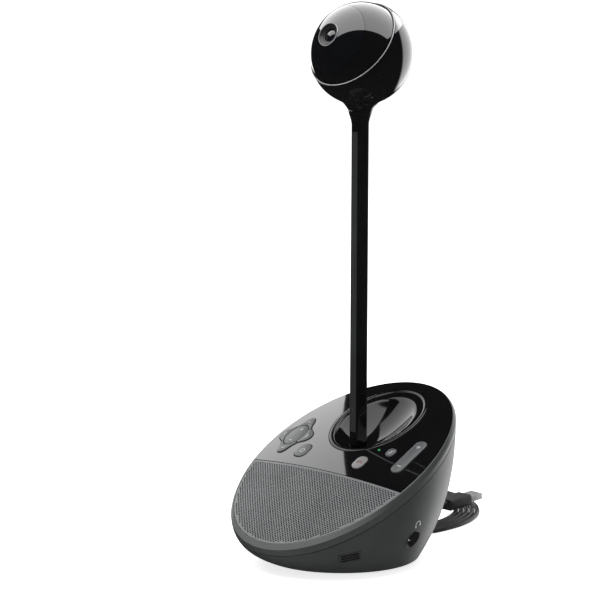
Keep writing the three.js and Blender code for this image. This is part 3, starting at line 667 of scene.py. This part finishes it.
whole_cell = 0.98 * hole_pitch ** 2
cells = [face for face in grille_sheet.faces if face.calc_area() > whole_cell and well_inside(face)]
bmesh.ops.inset_individual(grille_sheet, faces=cells, thickness=0.3)
cell_edges = list({edge for face in cells for edge in face.edges})
bmesh.ops.subdivide_edges(grille_sheet, edges=cell_edges, cuts=1)
for face in cells:
    centre = face.calc_center_median()
    for vertex in face.verts:
        vertex.co = centre + (vertex.co - centre).normalized() * hole_radius
bmesh.ops.delete(grille_sheet, geom=cells, context="FACES_ONLY")
bmesh.ops.solidify(grille_sheet, geom=grille_sheet.faces[:], thickness=grille_thickness)
highest = max(vertex.co.z for vertex in grille_sheet.verts)
for vertex in grille_sheet.verts:
    vertex.co.z += grille_top - highest - crown_drop(vertex.co.x, vertex.co.y)
bmesh.ops.recalc_face_normals(grille_sheet, faces=grille_sheet.faces)
punched_grille = solid("punched_grille", grille_sheet, deck_place)
settle(punched_grille, grille_finish, "grille", "base", "speaker_grille", sharp=30)

# ---- Dish ----
# A deep bowl of the same gloss black, let into the deck round the mast. Its lip is a rounded ring
# that stands level with the deck, and its floor falls forward to the foot of the mast.
mast_y = 13.7
dish_bottom_z = 75
dish_curve = 0.0153
lip_inner = 31.2
lip_low = -0.55
lip_height = 0.75
dish_skin = 2.4


def deck_height(x, y):
    """Height of the deck surface above a point on the table."""
    slope = y
    for _ in range(6):
        drop = crown_drop(x, slope)
        slope = (y + 3.7 - drop * math.sin(deck_tilt)) / math.cos(deck_tilt)
    return 74 + slope * math.sin(deck_tilt) - crown_drop(x, slope) * math.cos(deck_tilt)


dish_rows = [1.5 + i * 1.5 for i in range(19)]
dish_rows += [29.4, 30, 30.4, 30.8, 31.0, lip_inner]
dish_rows += [lip_inner + (dish_radius - lip_inner) * i / 12 for i in range(1, 13)]


def dish_place(share, row):
    angle = share * 2 * math.pi
    spread = dish_rows[row]
    x = spread * math.cos(angle)
    y = dish_centre_y + spread * math.sin(angle)
    floor = dish_bottom_z + dish_curve * (x ** 2 + (y - mast_y) ** 2)
    level = deck_height(x, y) + lip_low
    if spread > lip_inner:
        across = 2 * (spread - lip_inner) / (dish_radius - lip_inner) - 1
        return Vector((x, y, level + lip_height * math.sqrt(max(0, 1 - across ** 2))))
    return Vector((x, y, min(floor, level)))


dish_sheet = shaped_grid(144, len(dish_rows) - 1, dish_place)
middle_edges = [edge for edge in dish_sheet.edges if edge.is_boundary and
                (edge.verts[0].co.xy - Vector((0, dish_centre_y))).length < 2]
bmesh.ops.contextual_create(dish_sheet, geom=middle_edges)
dish_under = bmesh.ops.extrude_face_region(dish_sheet, geom=dish_sheet.faces[:])["geom"]
dish_under = [item for item in dish_under if isinstance(item, bmesh.types.BMVert)]
bmesh.ops.translate(dish_sheet, verts=dish_under, vec=(0, 0, -dish_skin))
bmesh.ops.recalc_face_normals(dish_sheet, faces=dish_sheet.faces)
dish_finish = finish("dish_black", (0.003, 0.003, 0.0034), (0.0045, 0.0045, 0.005), 0.06, 900.0, 0.002,
                     smudge=0.03,
                     scratch=0.015, depth=0.00001)
dish_finish.node_tree.nodes["Principled BSDF"].inputs["Specular IOR Level"].default_value = 0.28
mast_dish = solid("mast_dish", dish_sheet)
carve(mast_dish, prism(rounded_outline(3.2, 4.2, 1, 5), 60, 100), Matrix.Translation((0, mast_y, 0)))
settle(mast_dish, dish_finish, "gloss", "base", "dish", sharp=45)

# ---- Keys ----
# Satin grey key caps that stand half a millimetre proud of the panel. Four petals surround an
# oval rocker on the left, and single keys and a long rocker stand on the right.
key_finish = finish("key_plastic", (0.05, 0.053, 0.054), (0.066, 0.069, 0.07), 0.4, 2600.0, 0.2, smudge=0.08,
                    depth=0.00005)
call_finish = finish("call_key_plastic", (0.13, 0.125, 0.125), (0.17, 0.16, 0.16), 0.36, 2600.0, 0.2,
                     smudge=0.08,
                     depth=0.00005)
print_finish = finish("key_print", (0.42, 0.43, 0.44), (0.5, 0.51, 0.52), 0.5, 3500.0, 0.1)
red_print = finish("red_print", (0.2, 0.06, 0.055), (0.24, 0.075, 0.07), 0.5, 3500.0, 0.1)
key_proud = 0.5
key_depth = 3.2
key_rounding = 0.45
print_height = 0.05


def strokes(paths, width):
    """Flat printed lines along each path, drawn just above a key top."""
    bars = bmesh.new()
    for path in paths:
        for (ax, ay), (bx, by) in zip(path, path[1:]):
            length = math.hypot(bx - ax, by - ay) + width * 0.6
            turn = math.atan2(by - ay, bx - ax)
            middle = Matrix.Translation(((ax + bx) / 2, (ay + by) / 2, key_proud))
            place = middle @ Matrix.Rotation(turn, 4, "Z")
            size = Matrix.Diagonal((length, width, 2 * print_height, 1))
            bmesh.ops.create_cube(bars, size=1, matrix=place @ size)
    return bars


def arc(radius_x, radius_y, start, end, x=0.0, y=0.0, steps=10):
    points = []
    for i in range(steps + 1):
        angle = math.radians(start + (end - start) * i / steps)
        points.append((x + radius_x * math.cos(angle), y + radius_y * math.sin(angle)))
    return points


def cross_mark(y, half):
    return [[(-half, y), (half, y)], [(0, y - half), (0, y + half)]]


key_marks = {
    "home_key": (
        [[(-2.1, 0), (0, 1.9), (2.1, 0)], [(-1.4, -0.1), (-1.4, -1.9), (1.4, -1.9), (1.4, -0.1)]],
        0.42,
    ),
    "call_key": (
        [arc(2.2, 1.2, 155, 25, 0, -0.5), [(-2.3, -0.9), (-1.5, -0.3)], [(2.3, -0.9), (1.5, -0.3)]],
        0.85,
    ),
    "mute_key": ([[(0, 0.2), (0, 1.5)], arc(1.2, 1.2, 200, 340, 0, 0.3), [(0, -0.9), (0, -1.7)],
                  [(-1.6, -1.7), (1.6, 1.9)]], 0.42),
    "volume_rocker": (cross_mark(10.6, 1.5) + [[(-1.5, -10.6), (1.5, -10.6)]], 0.5),
}
for key_name, (key_x, key_slope, half_x, half_y, corner) in plain_keys.items():
    cap = prism(rounded_outline(half_x, half_y, corner), -key_depth, key_proud, key_rounding)
    cap_piece = solid(key_name + "_cap", cap, deck_frame(key_x, key_slope))
    cap_finish = call_finish if key_name == "call_key" else key_finish
    settle(cap_piece, cap_finish, "key", key_name, key_name, sharp=60)
    paths, width = key_marks[key_name]
    mark = solid(key_name + "_mark", strokes(paths, width), deck_frame(key_x, key_slope))
    settle(mark, red_print if key_name == "call_key" else print_finish, "key", key_name)

pad_frame = deck_frame(pad_x, pad_slope)
oval = [(zoom_half_x * math.cos(2 * math.pi * i / 60), zoom_half_y * math.sin(2 * math.pi * i / 60))
        for i in range(60)]
zoom_cap = solid("zoom_rocker_cap", prism(oval, -key_depth, key_proud, key_rounding), pad_frame)
settle(zoom_cap, key_finish, "key", "zoom_rocker", "zoom_rocker", sharp=60)
zoom_marks = cross_mark(6.2, 1.5) + [[(-1.5, -6.2), (1.5, -6.2)]]
zoom_mark = solid("zoom_rocker_mark", strokes(zoom_marks, 0.5), pad_frame)
settle(zoom_mark, print_finish, "key", "zoom_rocker")

petal_split = 0.35
petal_samples = 72
for i, (petal_name, mark_reach) in enumerate((
    ("right_petal", 12.4), ("up_petal", 15.4), ("left_petal", 12.4), ("down_petal", 15.4),
)):
    outward = math.pi / 2 * i
    ahead = Vector((math.cos(outward), math.sin(outward)))
    beside = Vector((-math.sin(outward), math.cos(outward)))

    def in_wedge(point):
        place = Vector(point)
        return place.dot(ahead) - petal_split > abs(place.dot(beside))

    turns = [outward + math.radians(60) * (2 * k / petal_samples - 1) for k in range(petal_samples + 1)]
    outer_edge = [petal_point(turn) for turn in turns]
    room_x = zoom_half_x + 0.35
    room_y = zoom_half_y + 0.35
    inner_edge = [(room_x * math.cos(turn), room_y * math.sin(turn)) for turn in turns]
    petal_outline = [point for point in outer_edge + inner_edge[::-1] if in_wedge(point)]
    petal = solid(petal_name + "_cap", prism(petal_outline, -key_depth, key_proud, 0.3), pad_frame)
    settle(petal, key_finish, "key", petal_name, petal_name, sharp=60)
    tip = ahead * mark_reach
    wings = [tip - ahead * 1.1 + beside * 1.5 * side for side in (-1, 1)]
    arrow = solid(petal_name + "_mark", strokes([[wings[0][:], tip[:], wings[1][:]]], 0.45), pad_frame)
    settle(arrow, print_finish, "key", petal_name)

# ---- Mast ----
# A slim black bar that lifts out of the dish. It flares at the top into the round seat that the
# head turns on, and a satin strip runs down a groove in its front.
mast_half_x = 4.0
mast_half_y = 5.3
mast_bottom = 76.2
mast_flare = 299
mast_top = 310
seat_radius = 8.4
strip_half = 2.7
strip_depth = 0.7
strip_bottom = 87
strip_top = 296
flare_steps = 12
mast_levels = [mast_bottom, mast_bottom + 0.3, 130, 190, 250, 290]
mast_levels += [mast_flare + (mast_top - mast_flare) * i / flare_steps for i in range(flare_steps + 1)]


def mast_place(share, row):
    height = mast_levels[row]
    risen = max(0, (height - mast_flare) / (mast_top - mast_flare))
    power = 2 / (7 - 5 * risen)
    half_x = mast_half_x + (seat_radius - mast_half_x) * risen ** 2
    half_y = mast_half_y + (seat_radius - mast_half_y) * risen ** 2
    if row == 0:
        half_x -= 0.3
        half_y -= 0.3
    angle = share * 2 * math.pi
    across = math.copysign(abs(math.cos(angle)) ** power, math.cos(angle))
    along = math.copysign(abs(math.sin(angle)) ** power, math.sin(angle))
    return Vector((half_x * across, mast_y + half_y * along, height))


mast_form = shaped_grid(96, len(mast_levels) - 1, mast_place)
bmesh.ops.holes_fill(mast_form, edges=[edge for edge in mast_form.edges if edge.is_boundary])
bmesh.ops.recalc_face_normals(mast_form, faces=mast_form.faces)
mast_bar = solid("mast_bar", mast_form)
mast_middle = Matrix.Translation((0, mast_y, 0))
carve(mast_bar, prism(rounded_outline(2.5, 3.6, 0.8, 4), 60, 330), mast_middle)
groove_place = mast_middle @ Matrix.Translation((0, -mast_half_y + strip_depth / 2, 0))
groove_outline = rounded_outline(strip_half + 0.2, strip_depth / 2 + 0.25, 0.2, 3)
groove = prism(groove_outline, strip_bottom, strip_top)
carve(mast_bar, groove, groove_place)
settle(mast_bar, gloss_finish, "gloss", "mast", "mast_tube", sharp=38)
strip_finish = finish("strip_satin", (0.02, 0.021, 0.022), (0.026, 0.027, 0.028), 0.36, 2600.0, 0.15,
                      smudge=0.06)
strip_outline = rounded_outline(strip_half, strip_depth / 2 - 0.03, 0.15, 3)
strip_form = prism(strip_outline, strip_bottom + 0.3, strip_top - 0.3)
mast_inlay = solid("mast_inlay", strip_form, groove_place)
settle(mast_inlay, strip_finish, "trim", "mast", "mast_strip")

# ---- Head ----
# A gloss black ball on a flared neck. A slanting seam divides it: behind the seam is the housing
# that pans, and in front of it sits the eye, a smaller ball that tilts inside.
ball_z = 349.5
ball_radius = 35.9
ball_wall = 0.9
eye_radius = 34.7
eye_wall = 1.8
seam_elevation = math.radians(39)
seam_offset = 9.6
lens_elevation = math.radians(25)
window_radius = 24.5
lens_ring_radius = 8.5
lens_radius = 4.5
head_middle = Matrix.Translation((0, mast_y, ball_z))


def facing(elevation):
    """Turns Z to point forward and up, at an elevation in the upright middle plane."""
    return head_middle @ Matrix.Rotation(math.pi / 2 - elevation, 4, "X")


def sphere_arc(radius, start, end, steps):
    """Profile points on a ball, by the angle down from its pole."""
    turns = [start + (end - start) * i / steps for i in range(steps + 1)]
    return [(radius * math.sin(turn), radius * math.cos(turn)) for turn in turns]


ball_gloss = finish("ball_gloss", (0.003, 0.003, 0.0033), (0.0042, 0.0042, 0.0046), 0.02, 900.0, 0.001,
                    coat=0.6,
                    smudge=0.012, scratch=0.008, depth=0.00001)
neck_profile = [
    (5.8, -39.2), (8.3, -39.2), (8.55, -39.0), (8.9, -38.5), (9.7, -37.2), (10.9, -35.6), (12.1, -34.2),
]
neck_room = [(7.7, -34.4), (7.7, -36.7), (5.8, -36.7)]
neck_end = math.pi - math.asin(13.6 / ball_radius)
outer_profile = sphere_arc(ball_radius, 0, neck_end, 72)[::-1]
inner_radius = ball_radius - ball_wall
inner_profile = sphere_arc(inner_radius, 0, math.pi - math.asin(11.5 / inner_radius), 60)
housing_form = revolved(neck_profile + outer_profile + inner_profile + neck_room, 128)
head_shell = solid("head_shell", housing_form, head_middle)
seam_side = prism(rounded_outline(60, 60, 1, 1), seam_offset, seam_offset + 60)
carve(head_shell, seam_side, facing(seam_elevation))
settle(head_shell, ball_gloss, "gloss", "head", "head_housing", sharp=40)


def ball_normals(piece, radius, tolerance=0.35):
    """Gives the outside of a ball piece the exact normals of the ball."""
    centre = Vector((0, mast_y, ball_z)) * mm
    mesh = piece.data
    normals = [Vector((0, 0, 0))] * len(mesh.loops)
    for face in mesh.polygons:
        outward = face.center - centre
        on_ball = abs(outward.length - radius * mm) < tolerance * mm
        if on_ball and face.normal.dot(outward.normalized()) > 0.99:
            for loop in face.loop_indices:
                corner = mesh.vertices[mesh.loops[loop].vertex_index].co
                normals[loop] = (corner - centre).normalized()
    mesh.normals_split_custom_set(normals)


ball_normals(head_shell, ball_radius)

ring_finish = finish("polished_trim", (0.2, 0.2, 0.205), (0.26, 0.26, 0.265), 0.24, 1800.0, 0.05,
                     metallic=1.0)
ring_outer = math.sqrt(ball_radius ** 2 - seam_offset ** 2)
ring_base = seam_offset + seam_gap
ring_profile = [
    (ring_outer - 0.25, ring_base), (ring_outer - 0.3, ring_base + 0.25), (ring_outer - 0.5, ring_base + 0.3),
    (ring_outer - 0.55, ring_base + 0.45), (ring_outer - 0.8, ring_base + 0.5), (33.9, ring_base + 0.45),
    (33.8, ring_base),
]
seam_trim = solid("seam_trim", revolved(ring_profile, 128), facing(seam_elevation))
settle(seam_trim, ring_finish, "trim", "head", "seam_ring", sharp=20)

eye_middle = facing(lens_elevation)
window_angle = math.asin(window_radius / eye_radius)
eye_outer = sphere_arc(eye_radius, window_angle + 0.006, math.pi, 90)
eye_inner = sphere_arc(eye_radius - eye_wall, math.pi, window_angle + 0.006, 70)
eye_dome = solid("eye_dome", revolved(eye_outer + eye_inner, 128), eye_middle)
eye_rear = prism(rounded_outline(60, 60, 1, 1), -60, eye_radius * math.cos(math.radians(101.5)))
carve(eye_dome, eye_rear, facing(math.radians(62.4)))
settle(eye_dome, ball_gloss, "gloss", "eye", "eye_shell", sharp=40)
ball_normals(eye_dome, eye_radius)

glass_finish = finish("tinted_window", (0.003, 0.0032, 0.004), (0.004, 0.0045, 0.0055), 0.015, 900.0, 0.0008,
                      coat=0.8, smudge=0.01, scratch=0.006, depth=0.00001)
lens_hole = math.asin((lens_ring_radius + 0.2) / eye_radius)
window_outer = sphere_arc(eye_radius, lens_hole, window_angle, 40)
window_inner = sphere_arc(eye_radius - eye_wall, window_angle, lens_hole, 30)
eye_window = solid("eye_window", revolved(window_outer + window_inner, 128), eye_middle)
settle(eye_window, glass_finish, "glass", "eye", "front_window", sharp=40)
ball_normals(eye_window, eye_radius)

ring_top = math.sqrt(eye_radius ** 2 - lens_ring_radius ** 2)
lens_trim_profile = [
    (lens_ring_radius, ring_top - 5), (lens_ring_radius, ring_top - 0.1),
    (lens_ring_radius - 0.25, ring_top + 0.25),
    (lens_ring_radius - 0.8, ring_top + 0.35), (lens_ring_radius - 1.1, ring_top + 0.1),
    (lens_radius + 2.2, ring_top - 0.3), (lens_radius + 1.9, ring_top - 0.6),
    (lens_radius + 1.1, ring_top - 0.9), (lens_radius + 0.9, ring_top - 1.4),
    (lens_radius + 0.3, ring_top - 1.6), (lens_radius + 0.3, ring_top - 5),
]
lens_trim_finish = finish("lens_trim", (0.008, 0.008, 0.0085), (0.012, 0.012, 0.0125), 0.36, 1800.0, 0.08)
lens_trim = solid("lens_trim", revolved(lens_trim_profile, 96), eye_middle)
settle(lens_trim, lens_trim_finish, "trim", "eye", "lens_bezel", sharp=25)
lens_edge_profile = [
    (lens_ring_radius - 0.45, ring_top + 0.1), (lens_ring_radius - 0.4, ring_top + 0.45),
    (lens_ring_radius - 0.1, ring_top + 0.45), (lens_ring_radius + 0.05, ring_top + 0.1),
]
lens_edge = solid("lens_edge", revolved(lens_edge_profile, 96), eye_middle)
settle(lens_edge, ring_finish, "trim", "eye", sharp=25)

lens_glass = bpy.data.materials.new("lens_glass")
lens_glass.use_nodes = True
lens_tree = lens_glass.node_tree
lens_shader = lens_tree.nodes["Principled BSDF"]
lens_surface = lens_tree.nodes.new("ShaderNodeGroup")
lens_surface.node_tree = surface_group
coating = lens_tree.nodes.new("ShaderNodeLayerWeight")
coating.inputs["Blend"].default_value = 0.35
coating_ramp = lens_tree.nodes.new("ShaderNodeValToRGB")
coating_ramp.color_ramp.elements[0].color = (0.004, 0.0035, 0.007, 1)
coating_ramp.color_ramp.elements[1].color = (0.008, 0.014, 0.013, 1)
lens_tree.links.new(coating.outputs["Facing"], coating_ramp.inputs["Fac"])
lens_tree.links.new(coating_ramp.outputs["Color"], lens_shader.inputs["Base Color"])
lens_gloss = combined(lens_tree, "MULTIPLY_ADD", lens_surface.outputs["Smudge"], 0.02)
lens_gloss.node.inputs[2].default_value = 0.01
lens_tree.links.new(lens_gloss, lens_shader.inputs["Roughness"])
lens_shader.inputs["Coat Weight"].default_value = 1.0
lens_shader.inputs["Coat Roughness"].default_value = 0.01
lens_dome = sphere_arc(7.5, 0, math.asin(4.2 / 7.5), 24)
lens_rise = ring_top - 0.7 - 7.5
lens_profile = [(radius, height + lens_rise) for radius, height in lens_dome] + [(4.2, 17), (0, 17)]
lens_element = solid("lens_element", revolved(lens_profile, 64), eye_middle)
settle(lens_element, lens_glass, "glass", "lens", "lens", sharp=40)

# ---- Wall fittings ----
# On the right wall is the headset socket, in a round recess with a headset icon above it. The
# front right wall has a slotted vent, and the back has the power socket beside the cable.
jack_profile = [
    (7.0, -0.35), (6.7, 0.0), (6.35, -0.05), (5.9, -0.7), (4.3, -3.3), (3.9, -3.6), (3.0, -3.6), (3.0, -2.6),
    (2.8, -2.3), (1.9, -2.3), (1.8, -2.5), (1.8, -14), (0, -14), (0, -15), (4.6, -15), (4.6, -5), (7.0, -3),
]
socket_finish = finish("socket_plastic", (0.008, 0.008, 0.008), (0.012, 0.012, 0.012), 0.28, 2400.0, 0.15)
headset_socket = solid("headset_socket", revolved(jack_profile, 64), jack_place)
settle(headset_socket, socket_finish, "inner", "base", "headset_jack", sharp=30)
contact_ring = [(1.75, -2.35), (2.35, -2.15), (2.5, -2.3), (2.4, -2.6), (1.75, -2.9)]
socket_contact = solid("socket_contact", revolved(contact_ring, 40), jack_place)
settle(socket_contact, plug_metal, "steel", "base")
headset_lines = [arc(2.3, 2.5, 200, -20), [(-2.3, -0.3), (-2.3, -1.9)], [(2.3, -0.3), (2.3, -1.9)],
                 [(-1.9, -0.7), (-1.9, -1.7)], [(1.9, -0.7), (1.9, -1.7)]]
icon_frame = wall_frame(math.radians(1.5), 35.5) @ Matrix.Translation((0, 0, -key_proud))
headset_icon = solid("headset_icon", strokes(headset_lines, 0.5), icon_frame)
settle(headset_icon, print_finish, "key", "base")

vent_block = solid("vent_block", prism(rounded_outline(8, 4.6, 1.1, 6), -4, -0.1, 0.25), vent_place)
vent_slots = []
for slot_y in (-2.5, 0, 2.5):
    slot = prism(rounded_outline(6.3, 0.8, 0.3, 4), -9, 9)
    slot.transform(Matrix.Translation((0, slot_y, 0)))
    vent_slots.append(slot)
carve(vent_block, gathered(vent_slots), vent_place)
settle(vent_block, inner_finish, "inner", "base", "mic_vent", sharp=30)

inlet_profile = [
    (4.6, -0.4), (4.35, -0.1), (3.7, -0.1), (3.3, -0.5), (3.2, -11), (0, -11), (0, -12), (4.6, -12),
]
power_socket = solid("power_socket", revolved(inlet_profile, 56), inlet_place)
settle(power_socket, socket_finish, "inner", "base", "power_inlet", sharp=30)
inlet_pin_profile = [(0, -11.3), (1, -11.3), (1, -3.3), (0.7, -3), (0, -3)]
inlet_pin = solid("inlet_pin", revolved(inlet_pin_profile, 32), inlet_place)
settle(inlet_pin, plug_metal, "steel", "base")

# ---- Loudspeaker, drives and boards ----
# What lies behind the grille, under the base and inside the ball keeps its CAD shape: the driver
# under its baffle, the weight and boards in the base, and the gears and motors of the head.
steel_finish = finish("brushed_steel", (0.38, 0.38, 0.39), (0.46, 0.46, 0.47), 0.32, 1400.0, 0.2,
                      metallic=1.0,
                      depth=0.00006)
board_finish = finish("circuit_board", (0.012, 0.075, 0.032), (0.018, 0.1, 0.045), 0.4, 1200.0, 0.3,
                      depth=0.0001)
brass_finish = finish("machined_brass", (0.5, 0.35, 0.14), (0.58, 0.42, 0.18), 0.28, 1600.0, 0.15,
                      metallic=1.0)
cone_finish = finish("paper_cone", (0.005, 0.005, 0.005), (0.009, 0.009, 0.009), 0.8, 900.0, 0.6,
                     depth=0.0002)
lamp_finish = finish("lamp_lens", (0.02, 0.16, 0.05), (0.03, 0.2, 0.07), 0.2, 1800.0, 0.05, coat=0.5)
lamp_shader = lamp_finish.node_tree.nodes["Principled BSDF"]
lamp_shader.inputs["Emission Color"].default_value = (0.08, 0.9, 0.25, 1)
lamp_shader.inputs["Emission Strength"].default_value = 0.12
foot_finish = finish("foot_rubber", (0.02, 0.02, 0.02), (0.03, 0.03, 0.03), 0.7, 1500.0, 0.5, depth=0.0001)
kept_nodes = {
    steel_finish: ["speaker_magnet", "ballast_plate", "base_screw_1", "base_screw_2", "pan_motor",
                   "tilt_motor", "left_tilt_pin", "right_tilt_pin"],
    board_finish: ["main_board", "left_key_board", "right_key_board", "image_board"],
    brass_finish: ["pan_gear", "tilt_gear", "pan_pinion", "tilt_pinion"],
    lamp_finish: ["status_lamp"],
    cone_finish: ["speaker_cone", "speaker_baffle", "speaker_basket"],
    inner_finish: ["mast_socket", "mast_foot", "neck_plug", "yoke"],
    charcoal_finish: ["bottom_cover"],
    foot_finish: ["foot_pad_1", "foot_pad_2", "foot_pad_3", "foot_pad_4"],
}
edge_round = 0.15 * mm
for material, names in kept_nodes.items():
    for name in names:
        node = frame["nodes"][name]
        for slot_index in range(max(1, len(node.material_slots))):
            if node.material_slots:
                node.material_slots[slot_index].material = material
            else:
                node.data.materials.append(material)
        rounding = node.modifiers.new("edge rounding", "BEVEL")
        rounding.width = edge_round
        rounding.segments = 2
        rounding.limit_method = "ANGLE"
        rounding.angle_limit = math.radians(50)

# ---- Floor and light ----
# A white studio table under one large overhead softbox, with a panel to the left that the left
# half of the deck mirrors. Mirror-like surfaces see a dark room apart from these and the backdrop.
floor_mesh = bmesh.new()
bmesh.ops.create_grid(floor_mesh, x_segments=1, y_segments=1, size=6000)
studio_floor = solid("studio_floor", floor_mesh)
floor_material = bpy.data.materials.new("floor_white")
floor_material.use_nodes = True
floor_shader = floor_material.node_tree.nodes["Principled BSDF"]
floor_shader.inputs["Base Color"].default_value = (0.93, 0.93, 0.93, 1)
floor_shader.inputs["Roughness"].default_value = 0.6
floor_shader.inputs["Emission Color"].default_value = (1, 1, 1, 1)
floor_shader.inputs["Emission Strength"].default_value = 0.75
studio_floor.data.materials.append(floor_material)
studio_floor.visible_glossy = False


def panel_light(name, centre, across, facing_way, width, height, power):
    """A rectangular light whose long side runs along across and which shines along facing_way."""
    data = bpy.data.lights.new(name, "AREA")
    data.shape = "RECTANGLE"
    data.size = width
    data.size_y = height
    data.energy = power
    lamp = bpy.data.objects.new(name, data)
    side = Vector(across).normalized()
    back = -Vector(facing_way).normalized()
    upright = back.cross(side)
    turn = Matrix((side, upright, back)).transposed().to_4x4()
    lamp.matrix_world = Matrix.Translation(centre) @ turn
    bpy.context.scene.collection.objects.link(lamp)
    return lamp


deck_middle = Vector((-10, 11, 82)) * mm
overhead = panel_light("overhead_softbox", (0, 0, 1.85), (1, 0, 0), (0, 0, -1), 1.8, 1.8, 40)

# The left panel's upper edge slants, and the deck mirrors that edge as a line beside the mast.
edge_first = Vector((-0.776, 0.365, 0.514))
edge_last = Vector((-0.662, 0.068, 0.746))
edge_middle = (edge_first + edge_last).normalized()
edge_along = (edge_last - edge_first).normalized()
below_edge = -edge_first.cross(edge_last).normalized()
left_distance = 2.0
left_drop = 0.9
left_centre = deck_middle + edge_middle * left_distance + below_edge * left_drop / 2
left_panel = panel_light("left_softbox", left_centre, edge_along, -edge_middle, 2.4, left_drop, 16)

# A long canopy over the head runs away behind it. Its near edge shows level across the eye.
screen_right = Vector((math.cos(camera_azimuth), math.sin(camera_azimuth), 0))
away = Vector((-math.sin(camera_azimuth), math.cos(camera_azimuth), 0))
head_point = Vector((0, mast_y, ball_z)) * mm
canopy_height = 1.5
canopy_near = canopy_height / math.tan(math.radians(57))
canopy_length = 5.5
canopy_centre = head_point + away * (canopy_length / 2 - canopy_near) + Vector((0, 0, canopy_height))
canopy_centre -= screen_right * 0.3
canopy = panel_light("head_canopy", canopy_centre, screen_right, (0, 0, -1), 6.0, canopy_length, 320)

# The canopy lights only the head, and the softboxes light everything else.
head_pieces = [head_shell, seam_trim, eye_dome, eye_window, lens_trim, lens_edge, lens_element]
head_receivers = bpy.data.collections.new("head_receivers")
table_receivers = bpy.data.collections.new("table_receivers")
for thing in bpy.context.scene.objects:
    if thing.type in ("MESH", "CURVE"):
        chosen = head_receivers if thing in head_pieces else table_receivers
        chosen.objects.link(thing)
canopy.light_linking.receiver_collection = head_receivers
overhead.light_linking.receiver_collection = table_receivers
left_panel.light_linking.receiver_collection = table_receivers

world = bpy.data.worlds.new("studio")
bpy.context.scene.world = world
world.use_nodes = True
sky = world.node_tree
sky_out = sky.nodes["World Output"]
white_sky = sky.nodes["Background"]
white_sky.inputs["Color"].default_value = (1, 1, 1, 1)
white_sky.inputs["Strength"].default_value = 1.0
ray = sky.nodes.new("ShaderNodeLightPath")
dim_sky = sky.nodes.new("ShaderNodeBackground")
direction_node = sky.nodes.new("ShaderNodeTexCoord")


def bright_cone(turn_right, half_angle, softness):
    """A white patch of the room behind the object, seen only in reflections."""
    axis = away * math.cos(math.radians(turn_right)) + screen_right * math.sin(math.radians(turn_right))
    toward = sky.nodes.new("ShaderNodeVectorMath")
    toward.operation = "DOT_PRODUCT"
    toward.inputs[1].default_value = axis
    sky.links.new(direction_node.outputs["Generated"], toward.inputs[0])
    outer = math.cos(math.radians(half_angle + softness))
    return ranged(sky, toward.outputs["Value"], outer, math.cos(math.radians(half_angle - softness)))


backdrop_mask = combined(sky, "MAXIMUM", bright_cone(43, 32, 2.5), bright_cone(-13, 13, 2))
glossy_level = combined(sky, "MULTIPLY_ADD", backdrop_mask, 2.6)
glossy_level.node.inputs[2].default_value = 0.012
diffuse_part = combined(sky, "MULTIPLY", ray.outputs["Is Diffuse Ray"], 0.55)
glossy_part = combined(sky, "MULTIPLY", ray.outputs["Is Glossy Ray"], glossy_level)
sky.links.new(combined(sky, "ADD", diffuse_part, glossy_part), dim_sky.inputs["Strength"])
sky_mix = sky.nodes.new("ShaderNodeMixShader")
sky.links.new(ray.outputs["Is Camera Ray"], sky_mix.inputs["Fac"])
sky.links.new(dim_sky.outputs["Background"], sky_mix.inputs[1])
sky.links.new(white_sky.outputs["Background"], sky_mix.inputs[2])
sky.links.new(sky_mix.outputs["Shader"], sky_out.inputs["Surface"])

bpy.context.view_layer.update()
